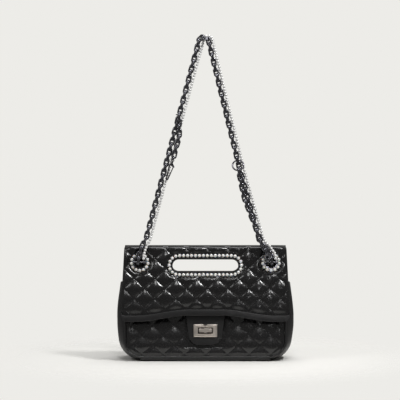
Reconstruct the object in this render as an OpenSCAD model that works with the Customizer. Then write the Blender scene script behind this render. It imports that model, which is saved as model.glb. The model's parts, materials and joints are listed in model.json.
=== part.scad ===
// Quilted chain shoulder bag with a pearl-edged hand slot, a turn lock and a chain strap.
// Millimetres. +Z is up, the front faces -Y, and the origin is the centre of the base.

/* [Body] */
// Width between the piped side seams at the base
body_w = 243; // [200:1:300]
// Width between the side seams at the mouth
mouth_w = 249; // [200:1:300]
// Height of the mouth, where the front panel ends
mouth_z = 115; // [90:1:125]
// Height of the bag with the flap closed
bag_h = 170; // [150:1:200]
// Depth of the bag at the top fold
top_depth = 25; // [20:1:40]
// Lean of the front, in degrees from vertical
front_lean = 12; // [8:0.5:16]
// Lean of the back, in degrees from vertical
back_lean = 11; // [7:0.5:15]
// Radius of the lower corners
corner_r = 28; // [15:1:40]
// Thickness of the padded front and back panels
panel_t = 4; // [3:0.5:5]
// Thickness of the side gussets
gusset_t = 2.5; // [1.5:0.5:4]
// How far the gussets bulge past the side seams
gusset_bulge = 11.5; // [4:0.5:16]
// Thickness of the base panel
base_t = 2.5; // [2:0.5:4]
// Thickness of the stiffening board on the base
board_t = 2; // [1:0.5:3]
// Thickness of the lining cloth
lining_t = 0.8; // [0.5:0.1:1.5]
// Diameter of the piping along the seams
piping_d = 3.6; // [2:0.2:4]
// Height of the leather binding on the mouth
mouth_band_h = 9; // [5:0.5:14]

/* [Flap] */
// Width of the flap at the top fold
flap_w = 242.6; // [200:1:300]
// Width of the flap at its lower edge
flap_edge_w = 253; // [200:1:310]
// Thickness of the quilted flap shell
flap_t = 3.2; // [2.5:0.1:4]
// Thickness of the flap's lining
flap_lining_t = 0.8; // [0.5:0.1:1.5]
// Outer radius of the top fold
fold_r = 6; // [5:0.5:8]
// Height of the flap's lower edge at the sides
flap_side_z = 59.5; // [50:0.5:75]
// Rise of the lower edge in the middle
flap_arch = 9; // [0:0.5:12]
// Width of the plain hem
hem_w = 8; // [5:0.5:12]
// How far the hem stands proud of the shell
hem_step = 0.4; // [0.2:0.1:0.8]
// Radius of the flap's lower corners
flap_corner_r = 8; // [4:0.5:14]
// Width of the tongue at the flap's edge
tongue_w = 61; // [45:1:70]
// Width of the tongue at its end
tongue_end_w = 50; // [40:1:60]
// Thickness of the tongue
tongue_t = 2.6; // [2:0.1:3]
// Height of the tongue's lower end
tongue_z = 26; // [20:1:30]
// Radius of the tongue's lower corners
tongue_round_r = 16; // [8:1:20]
// Length of the tongue behind the flap's edge
tongue_lap = 22; // [15:1:30]

/* [Hand slot] */
// Clear width of the slot in the flap
slot_w = 98; // [85:1:105]
// Clear height of the slot in the flap
slot_h = 18.5; // [16:0.5:20]
// Drop of the slot's centre below the top of the bag
slot_drop = 28; // [26:0.5:32]
// Width of the leather binding round the slot
slot_binding_w = 2.4; // [1.5:0.1:3]
// How far the bindings stand proud of both faces
slot_rim = 0.5; // [0.3:0.1:1]
// Extra height and width of the slot in the back panel
back_slot_extra = 3; // [2:0.5:5]

/* [Eyelets] */
// Distance of each eyelet from the middle
eyelet_x = 98; // [94:0.5:102]
// Drop of the eyelets' centres below the top of the bag
eyelet_drop = 24; // [22:0.5:27]
// Clear diameter of an eyelet
eyelet_d = 16; // [15.8:0.1:17]
// Wall of an eyelet's tube
eyelet_wall = 0.7; // [0.5:0.1:1]
// Width of an eyelet's flange
eyelet_flange = 1.3; // [1:0.1:1.8]
// Thickness of the flange and of the washer
eyelet_flange_t = 0.6; // [0.4:0.1:1]

/* [Pearls] */
// Diameter of the pearls on the flap
pearl_d = 5; // [4:0.1:5.2]
// Part of a flap pearl's diameter that its flat seat cuts away
pearl_seat = 1; // [0.5:0.1:1.5]
// Number of pearls round the slot
slot_pearls_n = 42; // [30:1:43]
// Width of the pearl ring round the slot, between pearl centres
slot_ring_w = 108; // [106:0.5:112]
// Height of the pearl ring round the slot, between pearl centres
slot_ring_h = 28.7; // [28.5:0.1:31]
// Number of pearls round an eyelet
eyelet_pearls_n = 13; // [8:1:14]
// Radius of the pearl ring round an eyelet
eyelet_ring_r = 12.2; // [12.2:0.1:13]
// Diameter of the pearls on the strap
strand_pearl_d = 4; // [3:0.1:4]
// Spacing of the pearls on the strap
strand_pitch = 4.3; // [4.3:0.1:6]
// Diameter of the thread through the strap's pearls
thread_d = 0.4; // [0.3:0.1:0.6]

/* [Turn lock] */
// Height of the lock's centre
lock_z = 46.6; // [43:0.2:49]
// Width of the lock's front plate
lock_w = 35; // [30:0.5:40]
// Height of the lock's front plate
lock_h = 19; // [17:0.5:22]
// Thickness of the lock's front plate
lock_t = 2; // [1.5:0.1:2.4]
// Width of the window in the front plate
window_w = 22; // [21:0.5:24]
// Height of the window in the front plate
window_h = 9.5; // [9:0.1:11]
// Length of the turn bar
bar_w = 19.2; // [16:0.2:20]
// Height of the turn bar
bar_h = 5.6; // [4.8:0.2:6]
// Thickness of the turn bar
bar_t = 2; // [1.5:0.1:3]
// Diameter of the turn bar's post
post_d = 4.5; // [4:0.1:5]

/* [Chain] */
// Wire diameter of the chain
wire_d = 2.2; // [1.8:0.1:2.2]
// Outer width of a link
link_w = 8; // [7.8:0.1:8.2]
// Link spacing along the taut chain
pitch = 8; // [7.8:0.1:8.2]
// Play of one link in the next
link_play = 0.4; // [0.3:0.05:0.5]
// Ring thickness of the strap ring
o_ring_wire = 2.4; // [2:0.1:2.6]
// Outer diameter of the strap ring
o_ring_d = 19; // [18.6:0.1:20]
// Wire of the small connecting rings
jump_wire = 1.6; // [1.4:0.1:1.7]

/* [Strap] */
// Height of the strap's top link above the table
strap_z = 478.5; // [420:1:520]
// How far the strap leans back, in degrees
strap_lean = 6; // [4:0.5:8]
// Offset of the strap's top from the middle
strap_top_x = -3; // [-6:1:6]

/* [Hidden] */
$fn = 48;
overrun = 1;
seam_gap = 0.05;
clearance = 0.3;
running_gap = 0.05;

// Depths behind the flap's outer face
lining_in = flap_t + flap_lining_t;
tongue_in = lining_in + tongue_t;
clamp_t = 0.8;
clamp_in = tongue_in + clamp_t;
lock_base_t = 1;
lock_gap = 0.6;
panel_out = clamp_in + lock_gap + lock_base_t;
panel_in = panel_out + panel_t;

// Places that follow from the leans: the fold's hinge axis and the front's outer face at the top,
// so placed that the base's middle is the origin
hinge_drop = (flap_t + flap_lining_t) / 2;
hinge_z = bag_h - hinge_drop;
front_reach = bag_h * tan(front_lean) - panel_in / cos(front_lean);
back_reach = hinge_z * tan(back_lean) - panel_t / 2 / cos(back_lean);
front_y = (front_reach - back_reach - top_depth) / 2;
hinge_y = front_y + top_depth;

// Lengths down the front's slope from the top plane
function slope(z) = (bag_h - z) / cos(front_lean);
function smooth(t) = let (c = min(1, max(0, t))) (1 - cos(180 * c)) / 2;

// y of the inner faces of the two panels at a height
function front_in_y(z) = front_y - (bag_h - z) * tan(front_lean) + panel_in / cos(front_lean);
function back_in_y(z) = hinge_y + (hinge_z - z) * tan(back_lean) - panel_t / 2 / cos(back_lean);

// Half width of the body at a height, narrowing again above the mouth to the flap's width
belly_z = 60;
function half_w(z) =
    z < belly_z ? body_w / 2
    : z < mouth_z ? body_w / 2 + (mouth_w - body_w) / 2 * (z - belly_z) / (mouth_z - belly_z)
    : mouth_w / 2 + (flap_w - mouth_w) / 2 * (z - mouth_z) / (bag_h - mouth_z);

// Outline of a panel in the XZ plane, moved in from the seam line
corner_steps = 12;
function corner_arc(inset, side) = [
    for (i = [0:corner_steps])
        let (a = 90 * i / corner_steps, r = corner_r - inset)
        [side * (body_w / 2 - corner_r + r * sin(a)), corner_r - r * cos(a)]
];
function reversed(list) = [for (i = [len(list) - 1:-1:0]) list[i]];
function panel_points(inset, top) = concat(
    reversed(corner_arc(inset, -1)),
    corner_arc(inset, 1),
    [[half_w(belly_z) - inset, belly_z]],
    top > mouth_z ? [[half_w(mouth_z) - inset, mouth_z]] : [],
    [[half_w(top) - inset, top], [-half_w(top) + inset, top]],
    top > mouth_z ? [[-half_w(mouth_z) + inset, mouth_z]] : [],
    [[-half_w(belly_z) + inset, belly_z]]
);

// The seam line from the left mouth corner round the base to the right one
function seam_points(inset, top) = concat(
    [[-half_w(top) + inset, top], [-half_w((top + belly_z) / 2) + inset, (top + belly_z) / 2]],
    [[-half_w(belly_z) + inset, belly_z]],
    reversed(corner_arc(inset, -1)),
    [[0, inset]],
    corner_arc(inset, 1),
    [[half_w(belly_z) - inset, belly_z]],
    [[half_w((top + belly_z) / 2) - inset, (top + belly_z) / 2], [half_w(top) - inset, top]]
);

module front_frame() { translate([0, front_y, bag_h]) rotate([-front_lean, 0, 0]) children(); }
module back_frame() { translate([0, hinge_y, hinge_z]) rotate([back_lean, 0, 0]) children(); }

// A flat shape in the front's plane, from one depth to another behind the flap's face
module face_plate(from, to) {
    translate([0, to, 0]) rotate([90, 0, 0]) linear_extrude(to - from) children();
}
module face_bore(d, from, to) {
    translate([0, to, 0]) rotate([90, 0, 0]) cylinder(d = d, h = to - from);
}
module stadium(w, h) {
    square([w - h, h], center = true);
    for (side = [-1, 1]) translate([side * (w - h) / 2, 0]) circle(d = h);
}
module rounded_plate(w, h, r) {
    square([w - 2 * r, h], center = true);
    square([w, h - 2 * r], center = true);
    for (x = [-1, 1], y = [-1, 1]) translate([x * (w / 2 - r), y * (h / 2 - r)]) circle(r = r);
}

// A tube of even thickness along a list of points
function unit(v) = v / norm(v);
function tangent(p, i) =
    unit((i < len(p) - 1 ? p[i + 1] - p[i] : [0, 0, 0]) + (i > 0 ? p[i] - p[i - 1] : [0, 0, 0]));
module tube(p, r, sides) {
    n = len(p);
    up = [0, 1, 0];
    rings = [
        for (i = [0:n - 1])
            let (t = tangent(p, i), u = unit(cross(t, up)), v = cross(u, t))
            for (k = [0:sides - 1])
                let (a = 360 * k / sides)
                p[i] + r * (cos(a) * u + sin(a) * v)
    ];
    walls = [
        for (i = [0:n - 2], k = [0:sides - 1])
            let (a = i * sides + k, b = i * sides + (k + 1) % sides)
            each [[a, b, b + sides], [a, b + sides, a + sides]]
    ];
    start = [for (k = [sides - 1:-1:0]) k];
    end = [for (k = [0:sides - 1]) (n - 1) * sides + k];
    polyhedron(rings, concat(walls, [start, end]));
}

// Body

piping_inset = piping_d / 2 + clearance;
panel_inset = piping_inset + piping_d / 2 + seam_gap;

module front_slab(from, to) {
    front_frame()
        translate([-mouth_w, from, -slope(0) - overrun])
            cube([2 * mouth_w, to - from, slope(0) + overrun]);
}

module panel_prism(top) {
    reach = bag_h;
    translate([0, reach, 0]) rotate([90, 0, 0])
        linear_extrude(2 * reach) polygon(panel_points(panel_inset, top));
}

module front_panel() {
    color("#1b1b1d") difference() {
        intersection() {
            front_slab(panel_out, panel_in);
            panel_prism(mouth_z - mouth_band_h);
        }
        lock_place() face_bore(post_hole_d, panel_out - overrun, panel_in + overrun);
    }
}

module mouth_binding() {
    color("#161617") difference() {
        intersection() {
            front_slab(panel_out - hem_step, panel_in);
            panel_prism(mouth_z);
        }
        translate([-mouth_w, -bag_h, -overrun])
            cube([2 * mouth_w, 2 * bag_h, mouth_z - mouth_band_h + overrun]);
    }
}

module back_slot_cut(w, h) {
    translate([0, bag_h, bag_h - slot_drop - back_slot_drop]) rotate([90, 0, 0])
        linear_extrude(2 * bag_h) stadium(w, h);
}
back_slot_drop = 1;
back_slot_w = slot_w + back_slot_extra;
back_slot_h = slot_h + back_slot_extra;

module back_panel() {
    top_gap = hinge_drop + clearance;
    color("#1b1b1d") difference() {
        intersection() {
            back_frame()
                translate([-mouth_w, -panel_t / 2, -2 * bag_h])
                    cube([2 * mouth_w, panel_t, 2 * bag_h - top_gap]);
            panel_prism(bag_h);
        }
        back_slot_cut(back_slot_w + 2 * slot_binding_w, back_slot_h + 2 * slot_binding_w);
    }
}

module back_slot_binding() {
    color("#161617") difference() {
        intersection() {
            back_frame()
                translate([-mouth_w, -panel_t / 2 - slot_rim, -bag_h])
                    cube([2 * mouth_w, panel_t + 2 * slot_rim, bag_h]);
            back_slot_cut(
                back_slot_w + 2 * (slot_binding_w - seam_gap),
                back_slot_h + 2 * (slot_binding_w - seam_gap)
            );
        }
        back_slot_cut(back_slot_w, back_slot_h);
    }
}

// Side gusset: a curved skin between the two panels that bulges outwards and runs out at the base
gusset_rows = 10;
gusset_cols = 8;
bulge_start_share = 0.13;
bulge_power = 1.4;
function gusset_line() = concat(
    [for (i = [0:gusset_rows / 2 - 1])
        let (z = mouth_z + (corner_r - mouth_z) * 2 * i / gusset_rows) [half_w(z), z]],
    reversed([for (i = [0:gusset_rows / 2])
        let (a = 90 * 2 * i / gusset_rows)
        [body_w / 2 - corner_r + corner_r * sin(a), corner_r - corner_r * cos(a)]])
);
function lengths(p, i = 0, sum = 0) =
    i >= len(p) ? []
    : let (s = sum + (i > 0 ? norm(p[i] - p[i - 1]) : 0)) concat([s], lengths(p, i + 1, s));
function flat_normal(p, i) =
    let (t = (i < len(p) - 1 ? p[i + 1] : p[i]) - (i > 0 ? p[i - 1] : p[i]), u = t / norm(t))
    [-u[1], u[0]];

module gusset(side) {
    line = gusset_line();
    runs = lengths(line);
    total = runs[len(runs) - 1];
    rows = len(line);
    function skin(depth) = [
        for (i = [0:rows - 1], j = [0:gusset_cols])
            let (
                t = runs[i] / total,
                v = j / gusset_cols,
                bulge = gusset_bulge
                    * pow(sin(180 * (bulge_start_share + (1 - bulge_start_share) * t)), bulge_power),
                out = bulge * (1 - pow(2 * v - 1, 2)) - depth,
                n = i == 0 ? [1, 0] : i == rows - 1 ? [0, -1] : flat_normal(line, i),
                x = line[i][0] + n[0] * out,
                z = line[i][1] + n[1] * out,
                front = front_in_y(line[i][1]) + seam_gap,
                back = back_in_y(line[i][1]) - seam_gap
            )
            [side * x, front + (back - front) * v, z]
    ];
    w = gusset_cols + 1;
    inner = rows * w;
    points = concat(skin(0), skin(gusset_t));
    outer_faces = [
        for (i = [0:rows - 2], j = [0:w - 2])
            let (a = i * w + j) each [[a, a + 1, a + w + 1], [a, a + w + 1, a + w]]
    ];
    inner_faces = [for (f = outer_faces) [f[2] + inner, f[1] + inner, f[0] + inner]];
    rim = concat(
        [for (j = [0:w - 2]) [j, j + 1]],
        [for (i = [0:rows - 2]) [i * w + w - 1, (i + 1) * w + w - 1]],
        [for (j = [w - 2:-1:0]) [(rows - 1) * w + j + 1, (rows - 1) * w + j]],
        [for (i = [rows - 2:-1:0]) [(i + 1) * w, i * w]]
    );
    rim_faces = [for (e = rim) each [[e[0], e[0] + inner, e[1] + inner], [e[0], e[1] + inner, e[1]]]];
    faces = concat(outer_faces, inner_faces, rim_faces);
    turned = [for (f = faces) side > 0 ? reversed(f) : f];
    color("#19191b") polyhedron(points, turned);
}
module left_gusset() { gusset(-1); }
module right_gusset() { gusset(1); }

flat_w = body_w - 2 * corner_r;
module base_panel() {
    gap = seam_gap;
    color("#19191b")
        rotate([90, 0, 90]) translate([0, 0, -flat_w / 2 + gap])
            linear_extrude(flat_w - 2 * gap)
                polygon([
                    [front_in_y(0) + gap, 0], [back_in_y(0) - gap, 0],
                    [back_in_y(base_t) - gap, base_t], [front_in_y(base_t) + gap, base_t]
                ]);
}

module base_board() {
    margin = 4;
    z = base_t + board_t;
    color("#8c7a5e")
        rotate([90, 0, 90]) translate([0, 0, -flat_w / 2 + margin])
            linear_extrude(flat_w - 2 * margin)
                polygon([
                    [front_in_y(base_t) + margin, base_t], [back_in_y(base_t) - margin, base_t],
                    [back_in_y(z) - margin, z], [front_in_y(z) + margin, z]
                ]);
}

// Lining: a thin open bag inside the panels
module lining_prism(in, floor, top) {
    w = body_w - 2 * in;
    rotate([90, 0, 90]) translate([0, 0, -w / 2])
        linear_extrude(w)
            polygon([
                [front_in_y(floor) + in, floor], [back_in_y(floor) - in, floor],
                [back_in_y(top) - in, top], [front_in_y(top) + in, top]
            ]);
}
module lining() {
    floor = base_t + board_t + clearance;
    top = mouth_z - clearance;
    color("#2a2426") difference() {
        intersection() {
            lining_prism(clearance, floor, top);
            translate([0, bag_h, 0]) rotate([90, 0, 0])
                linear_extrude(2 * bag_h) polygon(panel_points(panel_inset, mouth_z));
        }
        intersection() {
            lining_prism(clearance + lining_t, floor + lining_t, top + overrun);
            translate([0, bag_h, 0]) rotate([90, 0, 0])
                linear_extrude(2 * bag_h) polygon(panel_points(panel_inset + lining_t, mouth_z + overrun));
        }
    }
}

function front_mid_y(z) = front_in_y(z) - panel_t / 2 / cos(front_lean);
function back_mid_y(z) = back_in_y(z) + panel_t / 2 / cos(back_lean);
module front_piping() {
    color("#131314")
        tube([for (p = seam_points(piping_inset, mouth_z)) [p[0], front_mid_y(p[1]), p[1]]], piping_d / 2, 8);
}
module back_piping() {
    color("#131314")
        tube([for (p = seam_points(piping_inset, mouth_z)) [p[0], back_mid_y(p[1]), p[1]]], piping_d / 2, 8);
}

// Flap

fold_start = fold_r * tan((90 - front_lean) / 2);
edge_flat_w = 48;
edge_run = 80;
function edge_slope(x) =
    slope(flap_side_z + flap_arch * (1 - smooth((abs(x) - edge_flat_w / 2) / edge_run)));
side_slope = slope(flap_side_z);
function flap_half_w(s) = flap_w / 2 + (flap_edge_w - flap_w) / 2 * (s - fold_start) / (side_slope - fold_start);

edge_steps = 24;
flap_corner_steps = 6;
function edge_points(rise, half) = [
    for (i = [0:edge_steps]) let (x = half * (1 - 2 * i / edge_steps)) [x, -edge_slope(x) + rise]
];
function flap_corner(side) = [
    for (i = [0:flap_corner_steps])
        let (a = 90 * i / flap_corner_steps, r = flap_corner_r)
        [side * (flap_edge_w / 2 - r + r * cos(a)), -side_slope + r - r * sin(a)]
];

module flap_outline() {
    polygon(concat(
        [[-flap_w / 2, -fold_start], [flap_w / 2, -fold_start]],
        flap_corner(1),
        edge_points(0, flap_edge_w / 2 - flap_corner_r - overrun),
        reversed(flap_corner(-1))
    ));
}
module above_hem() {
    polygon(concat(
        [[-flap_edge_w, 0], [flap_edge_w, 0]],
        edge_points(hem_w, flap_edge_w)
    ));
}

// The fold and the top in side view, as points in y and z at a depth behind the flap's outer face
fold_steps = 12;
function fold_arc(depth) = [
    for (i = [0:fold_steps])
        let (a = 180 - front_lean - (90 - front_lean) * i / fold_steps, r = fold_r - depth)
        [front_y + fold_start + r * cos(a), bag_h - fold_r + r * sin(a)]
];
// The rounded back edge, from its top round to where it meets the underside
under_a = asin((flap_t - hinge_drop) / hinge_drop);
function back_arc() = [
    for (i = [0:fold_steps])
        let (a = 90 - (270 - under_a) * i / fold_steps)
        [hinge_y + hinge_drop * cos(a), hinge_z + hinge_drop * sin(a)]
];
module fold(points) {
    rotate([90, 0, 90]) translate([0, 0, -flap_w / 2]) linear_extrude(flap_w) polygon(points);
}

eyelet_s = slope(bag_h - eyelet_drop);
slot_s = slope(bag_h - slot_drop);
module at_eyelet(side) { front_frame() translate([side * eyelet_x, 0, -eyelet_s]) children(); }
module at_slot() { front_frame() translate([0, 0, -slot_s]) children(); }

module slot_cut(w, h, from, to) { at_slot() face_plate(from, to) stadium(w, h); }
tube_d = eyelet_d + 2 * eyelet_wall;

module flap_holes() {
    slot_cut(slot_w + 2 * slot_binding_w, slot_h + 2 * slot_binding_w, -overrun, lining_in + overrun);
    for (side = [-1, 1])
        at_eyelet(side) face_bore(tube_d + 2 * seam_gap, -overrun, lining_in + overrun);
}

module flap_shell() {
    color("#1d1d1f") difference() {
        union() {
            front_frame() face_plate(0, flap_t)
                intersection() {
                    flap_outline();
                    above_hem();
                }
            fold(concat(fold_arc(0), back_arc(), reversed(fold_arc(flap_t))));
        }
        flap_holes();
    }
}

module flap_lining() {
    back = hinge_y - 2 * hinge_drop;
    color("#232024") difference() {
        union() {
            front_frame() face_plate(flap_t, lining_in)
                intersection() {
                    flap_outline();
                    above_hem();
                }
            fold(concat(
                fold_arc(flap_t), [[back, bag_h - flap_t], [back, bag_h - lining_in]], reversed(fold_arc(lining_in))
            ));
        }
        flap_holes();
    }
}

module flap_hem() {
    color("#161617") front_frame() face_plate(-hem_step, lining_in)
        difference() {
            flap_outline();
            above_hem();
        }
}

module flap_slot_binding() {
    color("#121213") difference() {
        slot_cut(
            slot_w + 2 * (slot_binding_w - seam_gap), slot_h + 2 * (slot_binding_w - seam_gap),
            -slot_rim, lining_in + slot_rim
        );
        slot_cut(slot_w, slot_h, -overrun, lining_in + overrun);
    }
}

// Place on a stadium's line at a distance from the middle of its top run
function on_stadium(s, w, h) =
    let (
        r = h / 2, run = w - h, bend = PI * r, total = 2 * run + 2 * bend,
        q = s % total, a = q - run / 2, b = a - bend, c = b - run, d = c - bend
    )
    a < 0 ? [q, r]
    : b < 0 ? [run / 2 + r * sin(180 * a / bend), r * cos(180 * a / bend)]
    : c < 0 ? [run / 2 - b, -r]
    : d < 0 ? [-run / 2 - r * sin(180 * c / bend), -r * cos(180 * c / bend)]
    : [-run / 2 + d, r];

// A flap pearl with its flat back on the flap's face
module seated_pearl() {
    rotate([90, 0, 0]) rotate_extrude() intersection() {
        translate([0, pearl_d / 2 - pearl_seat]) circle(d = pearl_d);
        square([pearl_d, 2 * pearl_d]);
    }
}
module slot_pearls() {
    total = 2 * (slot_ring_w - slot_ring_h) + PI * slot_ring_h;
    color("#efece6") at_slot()
        for (i = [0:slot_pearls_n - 1]) {
            p = on_stadium((i + 0.5) * total / slot_pearls_n, slot_ring_w, slot_ring_h);
            translate([p[0], 0, p[1]]) seated_pearl();
        }
}
module eyelet_pearls(side) {
    color("#efece6") at_eyelet(side)
        for (i = [0:eyelet_pearls_n - 1])
            rotate([0, 360 * i / eyelet_pearls_n, 0])
                translate([0, 0, -eyelet_ring_r]) seated_pearl();
}
module left_eyelet_pearls() { eyelet_pearls(-1); }
module right_eyelet_pearls() { eyelet_pearls(1); }

module eyelet(side) {
    flange_d = tube_d + 2 * eyelet_flange;
    color("#6c6a6b") at_eyelet(side) difference() {
        union() {
            face_bore(flange_d, -eyelet_flange_t, 0);
            face_bore(tube_d, -eyelet_flange_t, lining_in + eyelet_flange_t);
        }
        face_bore(eyelet_d, -overrun, lining_in + 2 * overrun);
    }
}
module left_eyelet() { eyelet(-1); }
module right_eyelet() { eyelet(1); }

module eyelet_washer(side) {
    color("#6c6a6b") at_eyelet(side) difference() {
        face_bore(tube_d + 3 * eyelet_flange, lining_in, lining_in + eyelet_flange_t);
        face_bore(tube_d + 2 * seam_gap, lining_in - overrun, lining_in + 2 * overrun);
    }
}
module left_eyelet_washer() { eyelet_washer(-1); }
module right_eyelet_washer() { eyelet_washer(1); }

// Anchor rings: a wire loop through each eyelet, with its outer bar on the strap's pivot
pivot_out = 7;
bar_in = 9;
anchor_out_w = 17.4;
anchor_in_w = 7.4;
anchor_bar_d = 2.6;
anchor_wire_d = 2;
module wire(from, to, d) {
    v = to - from;
    translate(from) rotate([0, acos(v[2] / norm(v)), atan2(v[1], v[0])]) cylinder(d = d, h = norm(v));
}
module anchor_bar(w, depth) {
    translate([-w / 2, depth, 0]) rotate([0, 90, 0]) cylinder(d = anchor_bar_d, h = w);
}
module anchor_ring(side) {
    color("#58585c") at_eyelet(side) {
        anchor_bar(anchor_out_w + anchor_bar_d, -pivot_out);
        anchor_bar(anchor_in_w + anchor_bar_d, bar_in);
        for (end = [-1, 1])
            wire([end * anchor_out_w / 2, -pivot_out, 0], [end * anchor_in_w / 2, bar_in, 0], anchor_wire_d);
    }
}
module left_anchor_ring() { anchor_ring(-1); }
module right_anchor_ring() { anchor_ring(1); }

module anchor_tab(side) {
    wall = 1;
    w = 5;
    drop = 14;
    foot = 7;
    bore = anchor_bar_d + 2 * running_gap;
    color("#1b1b1d") at_eyelet(side) difference() {
        union() {
            translate([-w / 2, bar_in, 0]) rotate([0, 90, 0]) cylinder(d = bore + 2 * wall, h = w);
            translate([-w / 2, bar_in - bore / 2 - wall, -drop]) cube([w, 2 * wall, drop]);
            translate([-w / 2, lining_in, -drop - foot]) cube([w, bar_in - bore / 2 + wall - lining_in, foot]);
        }
        translate([-w / 2 - overrun, bar_in, 0]) rotate([0, 90, 0]) cylinder(d = bore, h = w + 2 * overrun);
    }
}
module left_anchor_tab() { anchor_tab(-1); }
module right_anchor_tab() { anchor_tab(1); }

// Tongue and turn lock

lock_s = slope(lock_z);
tongue_s = slope(tongue_z);
tongue_top_s = side_slope - tongue_lap;
module lock_place() { front_frame() translate([0, 0, -lock_s]) children(); }

post_hole_d = 11;
module tongue() {
    color("#19191b") front_frame() face_plate(lining_in, tongue_in)
        difference() {
            hull() {
                translate([-tongue_w / 2, -tongue_top_s - overrun]) square([tongue_w, overrun]);
                for (side = [-1, 1])
                    translate([side * (tongue_end_w / 2 - tongue_round_r), -tongue_s + tongue_round_r])
                        circle(r = tongue_round_r);
            }
            translate([0, -lock_s]) square([window_w + window_slack, window_h + window_slack], center = true);
            for (x = [-1, 1], y = [-1, 1])
                translate([x * rivet_x, y * rivet_z - lock_s]) circle(d = rivet_d + 2 * seam_gap);
        }
}

rivet_d = 1.6;
rivet_inset = [3, 2.4];
rivet_x = lock_w / 2 - rivet_inset[0];
rivet_z = lock_h / 2 - rivet_inset[1];
window_slack = 1;
notch_w = 5;
notch_h = 3;
lock_corner_r = 1.2;
lock_rim = 0.6;
module lock_front_plate() {
    color("#b9afa8") lock_place() {
        face_plate(lining_in - lock_t, lining_in)
            difference() {
                rounded_plate(lock_w, lock_h, lock_corner_r);
                square([window_w, window_h], center = true);
                translate([0, lock_h / 2]) square([notch_w, 2 * notch_h], center = true);
            }
        face_plate(lining_in - lock_t - lock_rim, lining_in - lock_t)
            difference() {
                rounded_plate(lock_w - 3 * lock_rim, lock_h - 3 * lock_rim, lock_corner_r);
                square([window_w + 2 * lock_rim, window_h + 2 * lock_rim], center = true);
                translate([0, lock_h / 2])
                    square([notch_w + 2 * lock_rim, 2 * notch_h + lock_rim], center = true);
            }
    }
}
module lock_clamp_plate() {
    color("#8e8782") lock_place() face_plate(tongue_in, clamp_in)
        difference() {
            rounded_plate(lock_w, lock_h, lock_corner_r);
            square([window_w + window_slack, window_h + window_slack], center = true);
            for (x = [-1, 1], y = [-1, 1])
                translate([x * rivet_x, y * rivet_z]) circle(d = rivet_d + 2 * seam_gap);
        }
}
module lock_rivets() {
    color("#8e8782") lock_place()
        for (x = [-1, 1], y = [-1, 1])
            translate([x * rivet_x, 0, y * rivet_z]) face_bore(rivet_d, lining_in, clamp_in);
}

base_plate_w = 27;
base_plate_h = 14;
base_plate_r = 2;
collar_h = 2.4;
collar_d = post_d + 2 * wire_d;
head_t = 1;
module lock_base() {
    color("#8e8782") lock_place() difference() {
        union() {
            face_plate(panel_out - lock_base_t, panel_out)
                rounded_plate(base_plate_w, base_plate_h, base_plate_r);
            face_bore(collar_d, panel_out - lock_base_t - collar_h, panel_out);
        }
        face_bore(post_d + 2 * running_gap, 0, panel_in);
    }
}
// A disc that closes the hole behind the turning head
module lock_backing_plate() {
    front = panel_out + head_t + 2 * clearance;
    color("#8e8782") lock_place() face_bore(post_hole_d - 2 * seam_gap, front, front + head_t);
}

bar_r = 1;
boss_w = 4.2;
boss_h = 7;
boss_r = 0.8;
pad_w = 6;
pad_t = 0.9;
module turn_bar() {
    back = lining_in - lock_t - lock_rim - clearance - 2 * running_gap;
    front = back - bar_t;
    color("#c6bcb4") lock_place() {
        face_plate(front, back) rounded_plate(bar_w, bar_h, bar_r);
        face_plate(front - pad_t / 2, back) rounded_plate(boss_w, boss_h, boss_r);
        for (side = [-1, 1])
            translate([side * (bar_w - pad_w) / 2, 0, 0])
                face_plate(front - pad_t, front) rounded_plate(pad_w - bar_r, bar_h - bar_r, boss_r);
        face_bore(post_d, back, panel_out + clearance);
        face_bore(collar_d, panel_out + clearance, panel_out + clearance + head_t);
    }
}

// Chain

wire_r = wire_d / 2;
link_bend = (link_w - wire_d) / 2;
joint_reach = (wire_d + link_play) / 2;
bend_gap = link_bend - joint_reach;
link_straight = pitch - 2 * bend_gap;

module link() {
    for (side = [-1, 1]) {
        translate([side * link_bend, 0, -link_straight / 2]) cylinder(r = wire_r, h = link_straight);
        translate([0, 0, side * link_straight / 2]) rotate([90, 0, 0])
            rotate([0, 0, side > 0 ? 0 : 180])
                rotate_extrude(angle = 180) translate([link_bend, 0]) circle(r = wire_r);
    }
}
// One link between two joints, turned about its own length
module link_between(a, b, roll) {
    v = b - a;
    flat = sqrt(v[0] * v[0] + v[2] * v[2]);
    translate((a + b) / 2)
        rotate([0, atan2(v[0], v[2]), 0])
            rotate([-atan2(v[1], flat), 0, 0])
                rotate([0, 0, roll])
                    link();
}
module ring(d, wire) { rotate_extrude() translate([(d - wire) / 2, 0]) circle(d = wire); }

// The strap's frame: x along the pivot, y behind the strap, z up its lean from the pivot
pivot_y = front_y - eyelet_s * sin(front_lean) - pivot_out * cos(front_lean);
pivot_z = bag_h - eyelet_s * cos(front_lean) + pivot_out * sin(front_lean);
module strap_frame() { translate([0, pivot_y, pivot_z]) rotate([-strap_lean, 0, 0]) children(); }
function climb(z) = (z - pivot_z) / cos(strap_lean);

// A direction that leans towards +x and rises forwards from the strap's plane, in degrees
function heading(lean, rise = 0) = [sin(lean) * cos(rise), -sin(rise), cos(lean) * cos(rise)];
function lean_of(a, b) = atan2(b[0] - a[0], b[2] - a[2]);
// Points reached from a start by single links, each with its own lean and rise
function walk(from, turns, i = 0) =
    i >= len(turns) ? [from]
    : concat([from], walk(from + pitch * heading(turns[i][0], turns[i][1]), turns, i + 1));
// Start of a strand whose first link turns on an anchor bar
function foot(x, turn) = [x, 0, 0] - bend_gap * heading(turn[0], turn[1]);

function last(list) = list[len(list) - 1];
function along(route, runs, s) = [
    for (k = [0:2]) lookup(s, [for (i = [0:len(runs) - 1]) [runs[i], route[i][k]]])
];
// The number of links that suits a route best: odd with an extra of 1, even with an extra of 0
function links_for(route, extra) = 2 * round((last(lengths(route)) / pitch - extra) / 2) + extra;
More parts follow.
